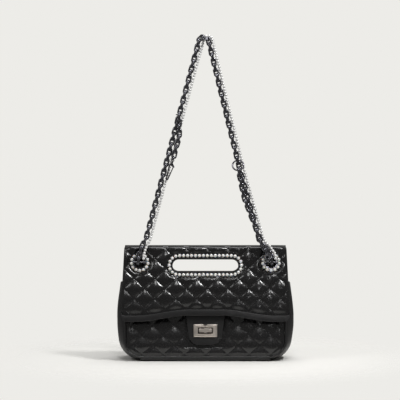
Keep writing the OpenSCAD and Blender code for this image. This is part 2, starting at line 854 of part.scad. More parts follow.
// Evenly spaced joints of a number of links along a route
function joints(route, n) =
    let (runs = lengths(route)) [for (i = [0:n]) along(route, runs, last(runs) * i / n)];

// Places on the anchor bars, from each eyelet's middle towards +x
left_chain_at = -2.4;
left_loop_at = 5.8;
right_chain_at = 0.8;
right_double_at = -5.3;
right_loop_at = 6.5;

// Lean and rise of the single links next to the eyelets
left_turns = [[10, 0], [12, 0], [16, 0], [27, 0], [27, 0]];
right_turns = [[-10, 0], [-18, 0], [-36, 0], [-46, 0], [-32, 0]];
double_turns = [[0, 46], [-8, 30], [-21, 13], [-33, 2]];

left_feet = walk(foot(-eyelet_x + left_chain_at, left_turns[0]), left_turns);
right_feet = walk(foot(eyelet_x + right_chain_at, right_turns[0]), right_turns);
right_run = 14;
right_run_lean = -15.4;
right_knee = last(right_feet) + right_run * pitch * heading(right_run_lean);

// The strap's top: its first link lies in the strap's plane and turns about the ends of its neighbours
top_half = 6;
top_leans = [48, 112];
top_left = [strap_top_x - top_half, 0, climb(strap_z)];
top_a = top_left - bend_gap * heading(top_leans[0]);
top_b = top_a + pitch * heading(top_leans[0]);
top_c = top_b - bend_gap * heading(top_leans[0]) + joint_reach * heading(top_leans[1]);
top_d = top_c + pitch * heading(top_leans[1]);
top_right = top_d + joint_reach * heading(top_leans[1]);

left_lean = lean_of(last(left_feet), top_left);
right_lean = lean_of(right_knee, top_right);
left_dir = heading(left_lean);
right_dir = heading(right_lean);
left_route = concat(left_feet, [top_left - joint_reach * left_dir]);
right_route = concat(right_feet, [right_knee, top_right + bend_gap * right_dir]);
left_joints = joints(left_route, links_for(left_route, 1));
right_joints = joints(right_route, links_for(right_route, 0));

// Even links face the side and odd links the front, with a slight sway that is nil at the named link
sway = 10;
ring_link = 20;
tail_link = 28;
function roll(i) = 90 * ((i + 1) % 2);
module links(p, turn, still) {
    for (i = [0:len(p) - 2]) link_between(p[i], p[i + 1], roll(i) + turn * sin(180 * i / still));
}
module chain_left() { color("#58585c") strap_frame() links(left_joints, sway, tail_link); }
module chain_right() { color("#58585c") strap_frame() links(right_joints, sway, ring_link); }
module chain_top() {
    color("#58585c") strap_frame() {
        link_between(top_a, top_b, 0);
        link_between(top_c, top_d, 90);
    }
}

function link_middle(p, i) = (p[i] + p[i + 1]) / 2;

// Strap ring: through one link at its top, its lower edge in front of the chain
o_ring_r = (o_ring_d - o_ring_wire) / 2;
ring_top = link_middle(right_joints, ring_link);
double_front = 6.6;
ring_lean = -5;
ring_tilt = asin(double_front / (2 * o_ring_r));
ring_down = -heading(ring_lean, -ring_tilt);
ring_centre = ring_top + o_ring_r * ring_down;
ring_low = ring_top + 2 * o_ring_r * ring_down;
module o_ring() {
    color("#6c6a6b") strap_frame() translate(ring_centre)
        rotate([0, ring_lean, 0]) rotate([-ring_tilt, 0, 0]) rotate([90, 0, 0])
            ring(o_ring_d, o_ring_wire);
}

// Second strand from the ring down to the right anchor
double_side = 5.5;
double_share = 0.55;
double_hang = (o_ring_wire + wire_d + link_play) / 2 - joint_reach;
double_end = ring_low + double_hang * heading(ring_lean);
double_feet = walk(foot(eyelet_x + right_double_at, double_turns[0]), double_turns);
function beside(p, lean, side, front) = p + side * [cos(lean), 0, -sin(lean)] + [0, -front, 0];
double_knee = beside(
    last(right_feet) + double_share * (ring_top - last(right_feet)), right_run_lean, -double_side, double_front
);
double_route = concat(double_feet, [double_knee, double_end]);
double_joints = joints(double_route, links_for(double_route, 1));
module chain_double() { color("#58585c") strap_frame() links(double_joints, 0, ring_link); }

// Tail: a short length that hangs in front of the left strand and ends in a clasp
tail_ring_d = 9.8;
tail_ring_r = (tail_ring_d - jump_wire) / 2;
tail_back = 0.2;
tail_links = 4;
tail_side = 8.6;
tail_front = 6.8;
tail_ring_centre = link_middle(left_joints, tail_link) - [0, tail_ring_r + tail_back, 0];
module tail_ring() {
    color("#6c6a6b") strap_frame() translate(tail_ring_centre) rotate([0, left_lean, 0])
        ring(tail_ring_d, jump_wire);
}
tail_hang = (jump_wire + wire_d + link_play) / 2 - joint_reach;
tail_a = tail_ring_centre - [0, tail_ring_r, 0] + tail_hang * left_dir;
tail_drift = asin(tail_side / (tail_links * pitch));
tail_b = tail_a - tail_links * pitch * heading(left_lean - tail_drift)
    + [0, 2 * tail_ring_r + tail_back - tail_front, 0];
tail_c = tail_b - tail_links * pitch * left_dir;
tail_joints = joints([tail_a, tail_b, tail_c], 2 * tail_links);
module chain_tail() { color("#58585c") strap_frame() links(tail_joints, 0, tail_link); }

// Clasp, drawn hanging down from the middle of its small ring
clasp_ring_d = 8;
clasp_ring_r = (clasp_ring_d - jump_wire) / 2;
clasp_t = 3;
clasp_w = 8;
clasp_tip_w = 4.2;
clasp_tip_x = -1.2;
clasp_wall = 1.7;
clasp_neck = 9;
clasp_neck_w = 2.6;
clasp_len = 29;
eye_bore = 2.4;
eye_d = 4.6;
eye_t = 1.5;
eye_z = -clasp_ring_r;
belly = eye_z - clasp_neck;
tip = eye_z - clasp_len;
module clasp_place() {
    hang = (wire_d + jump_wire + link_play) / 2 - joint_reach;
    strap_frame() translate(tail_c + hang * left_dir)
        rotate([0, left_lean, 0]) translate([0, 0, -clasp_ring_r])
            children();
}
// The tail's last link faces the front, so the small ring faces the side
module clasp_ring() {
    color("#6c6a6b") clasp_place() rotate([0, 0, 90]) rotate([90, 0, 0]) ring(clasp_ring_d, jump_wire);
}

// Flat shapes of the clasp in x and z, seen from the front
module clasp_outline(wall) {
    hull() {
        translate([0, belly]) circle(d = clasp_w - 2 * wall);
        translate([clasp_tip_x, tip]) circle(d = clasp_tip_w - 2 * wall);
    }
}
pin_d = 1.2;
pin_wall = 0.8;
pin_x = 2.6;
pin_z = belly + pin_wall;
gate_gap = 0.3;
gate_wall = 1.5;
gate_left = -0.5;
gate_end = 12;
module gate_region(extra) {
    bottom = tip + gate_end - extra;
    translate([gate_left, bottom]) square([clasp_w, pin_z + extra - bottom]);
}
cheek_t = 0.8;
module cheek() {
    hull() {
        translate([pin_x, pin_z]) circle(d = pin_d + 2 * pin_wall);
        translate([-gate_left, pin_z + clasp_wall]) circle(d = clasp_tip_w);
    }
}
module clasp_body() {
    half = clasp_t / 2;
    color("#6c6a6b") clasp_place() difference() {
        union() {
            face_plate(-half, half) difference() {
                clasp_outline(0);
                clasp_outline(clasp_wall);
                gate_region(0);
                translate([pin_x, pin_z]) circle(d = 2 * pin_d + 2 * gate_gap);
            }
            face_plate(-half - cheek_t, -half) cheek();
            face_plate(half, half + cheek_t) cheek();
            face_plate(-half, half)
                translate([-clasp_neck_w / 2, belly + clasp_wall])
                    square([clasp_neck_w, clasp_neck - 2 * clasp_wall]);
            translate([0, 0, eye_z]) face_bore(eye_d, -eye_t / 2, eye_t / 2);
        }
        translate([0, 0, eye_z]) face_bore(eye_bore, -clasp_t, clasp_t);
        translate([pin_x, 0, pin_z]) face_bore(pin_d + 2 * running_gap, -clasp_t, clasp_t);
    }
}
module clasp_pin() {
    reach = clasp_t / 2 + cheek_t;
    color("#6c6a6b") clasp_place() translate([pin_x, 0, pin_z]) face_bore(pin_d, -reach, reach);
}
nub_d = 1.7;
nub_at = [1.6, -0.9];
module clasp_lever() {
    half = clasp_t / 2 - gate_gap;
    color("#7c7a7b") clasp_place() difference() {
        face_plate(-half, half) {
            difference() {
                intersection() {
                    clasp_outline(0);
                    gate_region(-gate_gap);
                }
                clasp_outline(gate_wall);
            }
            translate([pin_x, pin_z]) circle(d = 2 * pin_d);
            translate([pin_x + nub_at[0], pin_z + nub_at[1]]) circle(d = nub_d);
        }
        translate([pin_x, 0, pin_z]) face_bore(pin_d + 2 * running_gap, -clasp_t, clasp_t);
    }
}
spring_d = 0.8;
spring_h = 1.4;
spring_at = [0, -0.2];
module clasp_spring() {
    color("#a0a0a4") clasp_place() translate([spring_at[0], 0, pin_z + spring_at[1]])
        face_bore(spring_d, -spring_h / 2, spring_h / 2);
}

// Pearl strand beside the chain: right of it on both sides, crossing behind the top
strand_side = 6.45;
strand_back = 6.5;
ring_pass = 2.3;
foot_pass = 1.2;
strand_leave = 30;
strand_join = 8;
strand_start = 5.2;
loop_wire = 1;
loop_r = (anchor_bar_d + loop_wire) / 2 + clearance;
left_loop_x = -eyelet_x + left_loop_at;
right_loop_x = eyelet_x + right_loop_at;
function shifted(route, i, front) =
    let (lean = (lean_of(route[i - 1], route[i]) + lean_of(route[i], route[i + 1])) / 2)
    beside(route[i], lean, strand_side, front);
arc_r = 6.7;
arc_steps = 12;
arc_centre = (top_left + top_right) / 2 + [strand_side, strand_back, 0];
strand_arc = [
    for (i = [0:arc_steps])
        let (a = left_lean + (180 + right_lean - left_lean) * i / arc_steps - 90)
        arc_centre + arc_r * [sin(a), 0, cos(a)]
];
strand_route = concat(
    [[left_loop_x, 0, strand_start]],
    [for (i = [2:5]) shifted(left_route, i, 0)],
    [
        beside(top_left - strand_leave * left_dir, left_lean, strand_side, 0),
        beside(top_left - strand_join * left_dir, left_lean, strand_side, -strand_back)
    ],
    strand_arc,
    [
        beside(top_right - strand_join * right_dir, right_lean, strand_side, -strand_back),
        beside(top_right - strand_leave * right_dir, right_lean, strand_side, -ring_pass)
    ],
    [for (i = [6:-1:3]) shifted(right_route, i, i > 4 ? -ring_pass : -foot_pass)],
    [[right_loop_x, foot_pass, strand_start + 1.5 * strand_pitch], [right_loop_x, 0, strand_start]]
);
strand_runs = lengths(strand_route);
strand_len = last(strand_runs);
strand_n = floor(strand_len / strand_pitch) + 1;
strand_gap = strand_len / (strand_n - 1);
function on_strand(s) = along(strand_route, strand_runs, min(strand_len, max(0, s)));

// A drilled pearl, its bore along a direction and wide enough for the strand's bends
bead_play = 0.45;
module drilled_pearl(v) {
    bore_r = thread_d / 2 + bead_play;
    rotate([0, acos(v[2]), atan2(v[1], v[0])]) rotate_extrude() intersection() {
        circle(d = strand_pearl_d);
        translate([bore_r, -strand_pearl_d]) square([strand_pearl_d, 2 * strand_pearl_d]);
    }
}
module pearl_strand() {
    color("#efece6") strap_frame()
        for (i = [0:strand_n - 1]) {
            ahead = on_strand((i + 0.5) * strand_gap);
            behind = on_strand((i - 0.5) * strand_gap);
            translate(on_strand(i * strand_gap)) drilled_pearl(unit(ahead - behind));
        }
}
thread_sides = 6;
module pearl_thread() {
    end = [0, 0, strand_start - loop_r - loop_wire / 2 - seam_gap];
    color("#d8d4cc") strap_frame()
        tube(
            concat([strand_route[0] - end], strand_route, [last(strand_route) - end]),
            thread_d / 2, thread_sides
        );
}
module pearl_end_loops() {
    color("#6c6a6b") strap_frame()
        for (x = [left_loop_x, right_loop_x])
            translate([x, 0, 0]) rotate([0, 90, 0]) ring(2 * loop_r + loop_wire, loop_wire);
}

front_panel();
back_panel();
left_gusset();
right_gusset();
base_panel();
base_board();
front_piping();
back_piping();
mouth_binding();
lining();
back_slot_binding();
lock_base();
lock_backing_plate();
turn_bar();
flap_shell();
flap_lining();
flap_hem();
flap_slot_binding();
slot_pearls();
left_eyelet();
right_eyelet();
left_eyelet_washer();
right_eyelet_washer();
left_eyelet_pearls();
right_eyelet_pearls();
tongue();
lock_front_plate();
lock_clamp_plate();
lock_rivets();
left_anchor_ring();
right_anchor_ring();
left_anchor_tab();
right_anchor_tab();
chain_left();
chain_top();
chain_right();
chain_tail();
chain_double();
tail_ring();
clasp_ring();
clasp_body();
clasp_pin();
clasp_lever();
clasp_spring();
o_ring();
pearl_strand();
pearl_thread();
pearl_end_loops();
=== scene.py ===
"""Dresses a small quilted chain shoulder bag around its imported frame, and sets up the studio."""

from __future__ import annotations

import json
import logging
from collections.abc import Callable, Sequence
from dataclasses import dataclass
from enum import Enum
from math import copysign, cos, exp, hypot, pi, radians, sin, sqrt, tan, tau

import bmesh
import bpy
from mathutils import Matrix, Vector, noise

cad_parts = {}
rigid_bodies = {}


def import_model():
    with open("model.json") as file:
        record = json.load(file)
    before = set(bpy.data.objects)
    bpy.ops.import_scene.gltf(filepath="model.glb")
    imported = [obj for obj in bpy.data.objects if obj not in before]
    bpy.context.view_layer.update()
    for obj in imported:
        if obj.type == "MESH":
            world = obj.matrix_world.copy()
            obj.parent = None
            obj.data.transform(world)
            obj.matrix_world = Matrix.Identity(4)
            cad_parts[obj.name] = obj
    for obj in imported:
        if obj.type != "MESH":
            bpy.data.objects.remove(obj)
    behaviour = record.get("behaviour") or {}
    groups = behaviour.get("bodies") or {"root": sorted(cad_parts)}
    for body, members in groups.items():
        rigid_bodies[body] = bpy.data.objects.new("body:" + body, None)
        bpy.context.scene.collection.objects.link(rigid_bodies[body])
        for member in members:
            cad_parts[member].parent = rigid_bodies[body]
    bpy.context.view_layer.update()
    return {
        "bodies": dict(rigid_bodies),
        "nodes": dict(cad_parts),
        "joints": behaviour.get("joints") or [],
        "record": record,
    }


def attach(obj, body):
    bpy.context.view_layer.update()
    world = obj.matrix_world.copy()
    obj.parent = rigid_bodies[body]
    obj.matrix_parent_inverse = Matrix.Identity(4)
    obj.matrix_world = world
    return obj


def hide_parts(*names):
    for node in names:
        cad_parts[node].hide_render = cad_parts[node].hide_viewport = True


LOG = logging.getLogger("bag")
MM = 0.001
WELD = 1e-6
FLAT_UV = "flat"
CLOUD_RANGE = (0.3, 0.7)

BMesh = bmesh.types.BMesh
Material = bpy.types.Material
Node = bpy.types.Node
Object = bpy.types.Object
Socket = bpy.types.NodeSocket
Pair = tuple[float, float]
Place = Callable[[float, float], Pair]
Lay = Callable[[float, float], Vector]
Stitch = tuple[Vector, Vector, Vector]


class Body(Enum):
    """The moving bodies that the made pieces ride on."""

    BAG = "bag"
    FLAP = "flap"
    BAR = "turn_bar"
    STRAP = "strap"


class Slot(Enum):
    """The record's material slots."""

    QUILT = "quilted_leather"
    PLAIN = "plain_leather"
    PIPING = "piping_leather"
    LINING = "lining_fabric"
    BOARD = "board"
    LOCK = "lock_metal"
    CHAIN = "chain_metal"
    FITTING = "fitting_metal"
    PEARL = "pearl"
    THREAD = "thread"
    SPRING = "spring_steel"


# ---------------- small tools


def share_of(value: float) -> float:
    """Keeps a value between 0 and 1."""
    return min(1.0, max(0.0, value))


def smooth_step(value: float) -> float:
    """Rises softly from 0 to 1 as value goes from 0 to 1."""
    t = share_of(value)
    return t * t * (3 - 2 * t)


def metres(x: float, y: float, z: float) -> Vector:
    """A place given in millimetres."""
    return Vector((x, y, z)) * MM


def waves(height: float, u: float, v: float, seed: float) -> float:
    """A smoothly uneven height, the same at each run."""
    return height * noise.noise(Vector((u, v, seed)))


def link_object(name: str, data: bpy.types.ID) -> Object:
    """Makes an object and links it to the scene.

    Args:
        name: The object's name.
        data: Its mesh, curve, lamp or camera.

    Returns:
        The new object, at the origin.
    """
    made = bpy.data.objects.new(name, data)
    bpy.context.scene.collection.objects.link(made)
    return made


def smooth_object(name: str, data: bpy.types.Mesh) -> Object:
    """Makes a smooth shaded object of a mesh."""
    data.polygons.foreach_set("use_smooth", [True] * len(data.polygons))
    return link_object(name, data)


def mesh_object(name: str, mesh: BMesh) -> Object:
    """Makes a smooth shaded object of a bmesh and frees the bmesh.

    Args:
        name: The object's name.
        mesh: The shape, in place.

    Returns:
        The new object, at the origin.
    """
    data = bpy.data.meshes.new(name)
    mesh.to_mesh(data)
    mesh.free()
    return smooth_object(name, data)


def evaluated_mesh(obj: Object) -> bpy.types.Mesh:
    """An object's shape with its modifiers and bevels as a new mesh."""
    graph = bpy.context.evaluated_depsgraph_get()
    return bpy.data.meshes.new_from_object(obj.evaluated_get(graph))


def thicken(obj: Object, thickness: float) -> Object:
    """Gives a sheet its wall, inwards from its outer face, and closes its rim.

    Args:
        obj: The sheet.
        thickness: The wall in millimetres.

    Returns:
        The same object.
    """
    wall = obj.modifiers.new("wall", "SOLIDIFY")
    wall.thickness = thickness * MM
    wall.offset = -1.0
    wall.use_even_offset = False
    baked = evaluated_mesh(obj)
    obj.modifiers.clear()
    obj.data = baked
    return obj


def node_mesh(node: str) -> BMesh:
    """Copies a CAD node's mesh and joins its coincident vertices.

    Args:
        node: The node.

    Returns:
        The copy.
    """
    mesh = bmesh.new()
    mesh.from_mesh(bpy.data.objects[node].data)
    bmesh.ops.remove_doubles(mesh, verts=mesh.verts, dist=WELD)
    return mesh


# ---------------- the bag's shape


@dataclass(frozen=True)
class BagShape:
    """The bag's sizes in millimetres and degrees, the same as in the frame's source."""

    body_w: float = 243.0
    mouth_w: float = 249.0
    mouth_z: float = 115.0
    mouth_band: float = 9.0
    bag_h: float = 170.0
    front_lean: float = 12.0
    back_lean: float = 11.0
    corner_r: float = 28.0
    belly_z: float = 60.0
    front_y: float = -16.3871
    hinge_y: float = 8.6129
    hinge_z: float = 168.0
    panel_out: float = 9.0
    panel_in: float = 13.0
    panel_t: float = 4.0
    panel_inset: float = 3.95
    piping_d: float = 3.6
    piping_inset: float = 2.1
    gusset_bulge: float = 11.5
    flap_w: float = 242.6
    flap_edge_w: float = 253.0
    flap_t: float = 3.2
    fold_r: float = 6.0
    flap_side_z: float = 59.5
    flap_arch: float = 9.0
    edge_flat: float = 24.0
    edge_run: float = 80.0
    hem_w: float = 8.0
    flap_corner_r: float = 8.0
    slot_w: float = 98.0
    slot_h: float = 18.5
    slot_z: float = 142.0
    slot_binding: float = 2.4
    back_slot_extra: float = 3.0
    back_slot_drop: float = 1.0
    slot_ring_w: float = 108.0
    slot_ring_h: float = 28.7
    eyelet_x: float = 98.0
    eyelet_z: float = 146.0
    eyelet_tube_r: float = 8.7
    eyelet_ring_r: float = 12.2
    lock_z: float = 46.6

    @property
    def sine(self) -> float:
        """Sine of the front's lean."""
        return sin(radians(self.front_lean))

    @property
    def cosine(self) -> float:
        """Cosine of the front's lean."""
        return cos(radians(self.front_lean))

    @property
    def core(self) -> float:
        """Half the distance between the centres of the round lower corners."""
        return self.body_w / 2 - self.corner_r

    @property
    def fold_start(self) -> float:
        """Slope length at which the top fold runs into the flat front."""
        return self.fold_r * tan(radians((90 - self.front_lean) / 2))

    @property
    def fold_run(self) -> float:
        """Length of the fold's arc."""
        return self.fold_r * radians(90 - self.front_lean)

    @property
    def path_start(self) -> float:
        """Path coordinate of the flap's back edge."""
        return self.fold_start - self.fold_run - (self.hinge_y - self.front_y - self.fold_start)

    @property
    def path_run(self) -> float:
        """Path length from the flap's back edge to the height of its corners."""
        return self.slope(self.flap_side_z) - self.path_start

    def slope(self, z: float) -> float:
        """Length down the front's slope from the top to a height."""
        return (self.bag_h - z) / self.cosine

    def half_width(self, z: float) -> float:
        """Half the body's width at a height over its round lower corners.

        Args:
            z: The height.

        Returns:
            The half width at the seam line.
        """
        if z < self.belly_z:
            return self.body_w / 2
        if z < self.mouth_z:
            share = (z - self.belly_z) / (self.mouth_z - self.belly_z)
            return (self.body_w + (self.mouth_w - self.body_w) * share) / 2
        share = (z - self.mouth_z) / (self.bag_h - self.mouth_z)
        return (self.mouth_w + (self.flap_w - self.mouth_w) * share) / 2

    def inner_half_width(self, z: float, inset: float) -> float:
        """Half width of an outline moved in from the seam line.

        Args:
            z: The height, from the inset up.
            inset: How far the outline is moved in.

        Returns:
            The half width.
        """
        radius = self.corner_r - inset
        if z < self.corner_r:
            rise = self.corner_r - z
            return self.core + sqrt(max(0.0, radius**2 - rise**2))
        return self.half_width(z) - inset

    def front_y_at(self, z: float, depth: float) -> float:
        """The y of a plane behind the flap's face, at a height."""
        return self.front_y + depth / self.cosine - (self.bag_h - z) * self.sine / self.cosine

    def back_y_at(self, z: float, out: float = 0.0) -> float:
        """The y of the back panel's middle at a height, moved outwards."""
        lean = radians(self.back_lean)
        return self.hinge_y + (self.hinge_z - z) * tan(lean) + out / cos(lean)

    def on_front(self, x: float, depth: float, drop: float) -> Vector:
        """A point given across, behind and down the front's slope.

        Args:
            x: Across, from the middle.
            depth: Behind the flap's outer face.
            drop: Down the slope from the top.

        Returns:
            The point in metres.
        """
        y = self.front_y + depth * self.cosine - drop * self.sine
        z = self.bag_h - depth * self.sine - drop * self.cosine
        return metres(x, y, z)

    def on_flap(self, x: float, path: float, depth: float) -> Vector:
        """A point on the flap, which runs over the top, round the fold and down the front.

        Args:
            x: Across, from the middle.
            path: Along the flap. It equals the slope length on the front.
            depth: Behind the outer face.

        Returns:
            The point in metres.
        """
        if path >= self.fold_start:
            return self.on_front(x, depth, path)
        centre_y = self.front_y + self.fold_start
        centre_z = self.bag_h - self.fold_r
        radius = self.fold_r - depth
        into = self.fold_start - path
        if into < self.fold_run:
            angle = radians(180 - self.front_lean) - into / self.fold_r
            y, z = centre_y + radius * cos(angle), centre_z + radius * sin(angle)
        else:
            y, z = centre_y + into - self.fold_run, self.bag_h - depth
        return metres(x, y, z)

    def flap_half(self, path: float) -> float:
        """Half the flap's width along its path."""
        bottom = self.slope(self.flap_side_z)
        share = max(0.0, (path - self.fold_start) / (bottom - self.fold_start))
        return (self.flap_w + (self.flap_edge_w - self.flap_w) * share) / 2

    def edge_path(self, x: float) -> float:
        """Path coordinate of the flap's lower edge."""
        run = share_of((abs(x) - self.edge_flat) / self.edge_run)
        ease = (1 - cos(pi * run)) / 2
        return self.slope(self.flap_side_z + self.flap_arch * (1 - ease))


SHAPE = BagShape()


@dataclass(frozen=True)
class Stadium:
    """A slot outline with round ends, in flat coordinates."""

    x: float
    y: float
    width: float
    height: float

    def nearest(self, x: float, y: float) -> tuple[float, float, float]:
        """Finds the nearest place on the outline.

        Args:
            x: Across.
            y: Along.

        Returns:
            The distance, negative inside, and the place on the outline.
        """
        radius = self.height / 2
        run = (self.width - self.height) / 2
        core = self.x + min(run, max(-run, x - self.x))
        dx, dy = x - core, y - self.y
        gap = hypot(dx, dy)
        if gap == 0:
            gap = dy = 1e-9
        return gap - radius, core + dx / gap * radius, self.y + dy / gap * radius


def flat_grid(cols: int, rows: int, place: Place) -> BMesh:
    """Makes a grid whose vertices lie at flat coordinates in millimetres.

    Args:
        cols: Cells across.
        rows: Cells along.
        place: Turns shares from 0 to 1 across and along into flat coordinates.

    Returns:
        The grid, with z at 0.
    """
    mesh = bmesh.new()
    bmesh.ops.create_grid(mesh, x_segments=cols, y_segments=rows, size=0.5)
    for vert in mesh.verts:
        vert.co = (*place(vert.co.x + 0.5, vert.co.y + 0.5), 0.0)
    return mesh


def mapped_grid(cols: int, rows: int, place: Place, holes: Sequence[Stadium] = ()) -> BMesh:
    """Makes a flat grid with holes, and keeps its flat coordinates in metres as its UV map.

    Args:
        cols: Cells across.
        rows: Cells along.
        place: Turns shares from 0 to 1 across and along into flat coordinates.
        holes: The outlines to cut. The cut edges are brought onto them.

    Returns:
        The grid, with z at 0.
    """
    mesh = flat_grid(cols, rows, place)
    for hole in holes:
        inside = {v for v in mesh.verts if hole.nearest(v.co.x, v.co.y)[0] < 0}
        gone = [f for f in mesh.faces if all(v in inside for v in f.verts)]
        bmesh.ops.delete(mesh, geom=gone, context="FACES")
        for vert in mesh.verts:
            gap, px, py = hole.nearest(vert.co.x, vert.co.y)
            if gap < 0:
                vert.co.x, vert.co.y = px, py
    layer = mesh.loops.layers.uv.new(FLAT_UV)
    for face in mesh.faces:
        for loop in face.loops:
            loop[layer].uv = (loop.vert.co.x * MM, loop.vert.co.y * MM)
    return mesh


# ---------------- node trees


def linear(hex_colour: str) -> tuple[float, float, float, float]:
    """Turns an sRGB hex colour into linear RGBA.

    Args:
        hex_colour: A colour such as "#1b1a1c".

    Returns:
        Red, green, blue and alpha, linear.
    """
    channels = [int(hex_colour[i : i + 2], 16) / 255 for i in (1, 3, 5)]
    toned = [c / 12.92 if c <= 0.04045 else ((c + 0.055) / 1.055) ** 2.4 for c in channels]
    return toned[0], toned[1], toned[2], 1.0


def titled(inputs: dict[str, object]) -> dict[str, object]:
    """Turns keywords into the names of a node's inputs."""
    return {key.title(): value for key, value in inputs.items()}


class Graph:
    """A material's or world's node tree, built by short calls that give back sockets."""

    def __init__(self, owner: Material | bpy.types.World) -> None:
        """Starts with the owner's tree empty."""
        owner.use_nodes = True
        self.tree = owner.node_tree
        self.tree.nodes.clear()

    def node(self, kind: str, inputs: dict | None = None, **settings: object) -> Node:
        """Adds a node with its settings, values and links.

        Args:
            kind: The node's type name without the ShaderNode prefix.
            inputs: Input name or index to a value, or to the socket that feeds it.
            settings: Attributes of the node.

        Returns:
            The new node.
        """
        made = self.tree.nodes.new(f"ShaderNode{kind}")
        for name, value in settings.items():
            setattr(made, name, value)
        for key, value in (inputs or {}).items():
            if isinstance(value, Socket):
                self.tree.links.new(value, made.inputs[key])
            else:
                made.inputs[key].default_value = value
        return made

    def place(self) -> Socket:
        """The place in object space."""
        return self.node("TexCoord").outputs["Object"]

    def math(self, operation: str, *values: object) -> Socket:
        """The result of a math operation on sockets and numbers."""
        return self.node("Math", dict(enumerate(values)), operation=operation).outputs[0]

    def cloud(self, place: Socket, scale: float, **more: float) -> Socket:
        """Noise of a scale per metre, its other inputs by their names."""
        inputs = {"Vector": place, "Scale": scale} | titled(more)
        return self.node("TexNoise", inputs).outputs["Fac"]

    def span(self, value: Socket, ends: Pair, to: Pair = (0.0, 1.0)) -> Socket:
        """A value's range between two ends, spread over another range."""
        names = ("Value", "From Min", "From Max", "To Min", "To Max")
        return self.node("MapRange", dict(zip(names, (value, *ends, *to)))).outputs["Result"]

    def gloss(self, cloud: Socket, roughness: float, less: float, more: float) -> Socket:
        """A roughness that follows noise down and up from its middle."""
        return self.span(cloud, CLOUD_RANGE, (roughness - less, roughness + more))

    def tint(self, share: Socket, first: str, second: str) -> Socket:
        """A mix of two sRGB hex colours."""
        inputs = {"Factor": share, "A": linear(first), "B": linear(second)}
        return self.node("Mix", inputs, data_type="RGBA").outputs[2]

    def bump(self, strength: float, distance: float, height: Socket, **more: object) -> Socket:
        """A normal over a height, its other inputs by their names."""
        inputs = {"Strength": strength, "Distance": distance, "Height": height}
        return self.node("Bump", inputs | titled(more)).outputs[0]

    def mix(self, share: Socket, first: Node, second: Node) -> Node:
        """A blend of two shaders."""
        return self.node("MixShader", {0: share, 1: first.outputs[0], 2: second.outputs[0]})

    def finish(self, kind: str, shader: Node) -> None:
        """Sends a shader to the tree's output node."""
        self.node(kind, {"Surface": shader.outputs[0]})


# ---------------- finishes


@dataclass(frozen=True)
class Finish:
    """A material's recipe."""

    name: str

    def build(self) -> Material:
        """Builds the material.

        Returns:
            The material, its patterns on object space.
        """
        made = bpy.data.materials.new(self.name)
        graph = Graph(made)
        shader = graph.node("BsdfPrincipled", self.shade(graph, graph.place()))
        graph.finish("OutputMaterial", shader)
        return made

    def shade(self, graph: Graph, place: Socket) -> dict[str, object]:
        """Draws the patterns.

        Args:
            graph: The material's tree.
            place: The place in object space.

        Returns:
            The shader's inputs.
        """
        raise NotImplementedError


@dataclass(frozen=True)
class LeatherFinish(Finish):
    """Lambskin, drum dyed black and glazed: fine wrinkled grain with a wet-looking gloss."""

    colour: str = "#0d0c0d"
    worn: str = "#151415"
    roughness: float = 0.24
    coat: float = 0.3
    grain_mm: float = 1.1
    wrinkle_mm: float = 9.0
    stitched: bool = False

    def shade(self, graph: Graph, place: Socket) -> dict[str, object]:
        """Draws pores, pebbles and soft folds, and stitches on a quilted piece's own flat map."""
        fine = 1 / (self.grain_mm * MM)
        spots = {"Vector": place, "Scale": fine}
        pores = graph.node("TexVoronoi", spots, feature="DISTANCE_TO_EDGE")
        pebble = graph.cloud(place, 0.6 * fine, detail=6.0, roughness=0.65)
        folds = graph.cloud(place, 1 / (self.wrinkle_mm * MM), detail=1.0, distortion=0.8)
        cells = graph.span(pores.outputs["Distance"], (0.0, 0.12))
        height = graph.math("MULTIPLY_ADD", cells, 0.35, pebble)
        grain = graph.bump(0.3, 0.08 * MM, height)
        normal = graph.bump(0.5, 0.45 * MM, folds, normal=grain)
        if self.stitched:
            normal = self._stitches(graph, normal)
        return {
            "Base Color": graph.tint(folds, self.colour, self.worn),
            "Roughness": graph.gloss(pebble, self.roughness, 0.04, 0.06),
            "IOR": 1.5,
            "Coat Weight": self.coat,
            "Coat Roughness": 0.12,
            "Normal": normal,
        }

    @staticmethod
    def _stitches(graph: Graph, normal: Socket) -> Socket:
        """Adds short sunk stitches along the diamond seams.

        Args:
            graph: The material's tree.
            normal: The normal so far.

        Returns:
            The new normal.
        """
        seam_share, stitches_a_cell, stitch_share = 0.022, 7.0, 0.66
        flat = graph.node("SeparateXYZ", {0: graph.node("UVMap", uv_map=FLAT_UV).outputs[0]})
        cells = ((QUILT.origin_x, QUILT.width), (QUILT.origin_y, QUILT.height))
        across, along = (
            graph.math("MULTIPLY", graph.math("SUBTRACT", way, origin * MM), 1 / (cell * MM))
            for way, (origin, cell) in zip(flat.outputs, cells)
        )
        first, second = graph.math("ADD", across, along), graph.math("SUBTRACT", across, along)
        seams = []
        for here, other in ((first, second), (second, first)):
            near = graph.math("PINGPONG", graph.math("PINGPONG", here, 1.0), 0.5)
            dash = graph.math("FRACT", graph.math("MULTIPLY", other, stitches_a_cell))
            line = graph.math("LESS_THAN", near, seam_share)
            seams.append(graph.math("MULTIPLY", line, graph.math("LESS_THAN", dash, stitch_share)))
        return graph.bump(0.6, 0.4 * MM, graph.math("MAXIMUM", *seams), normal=normal)


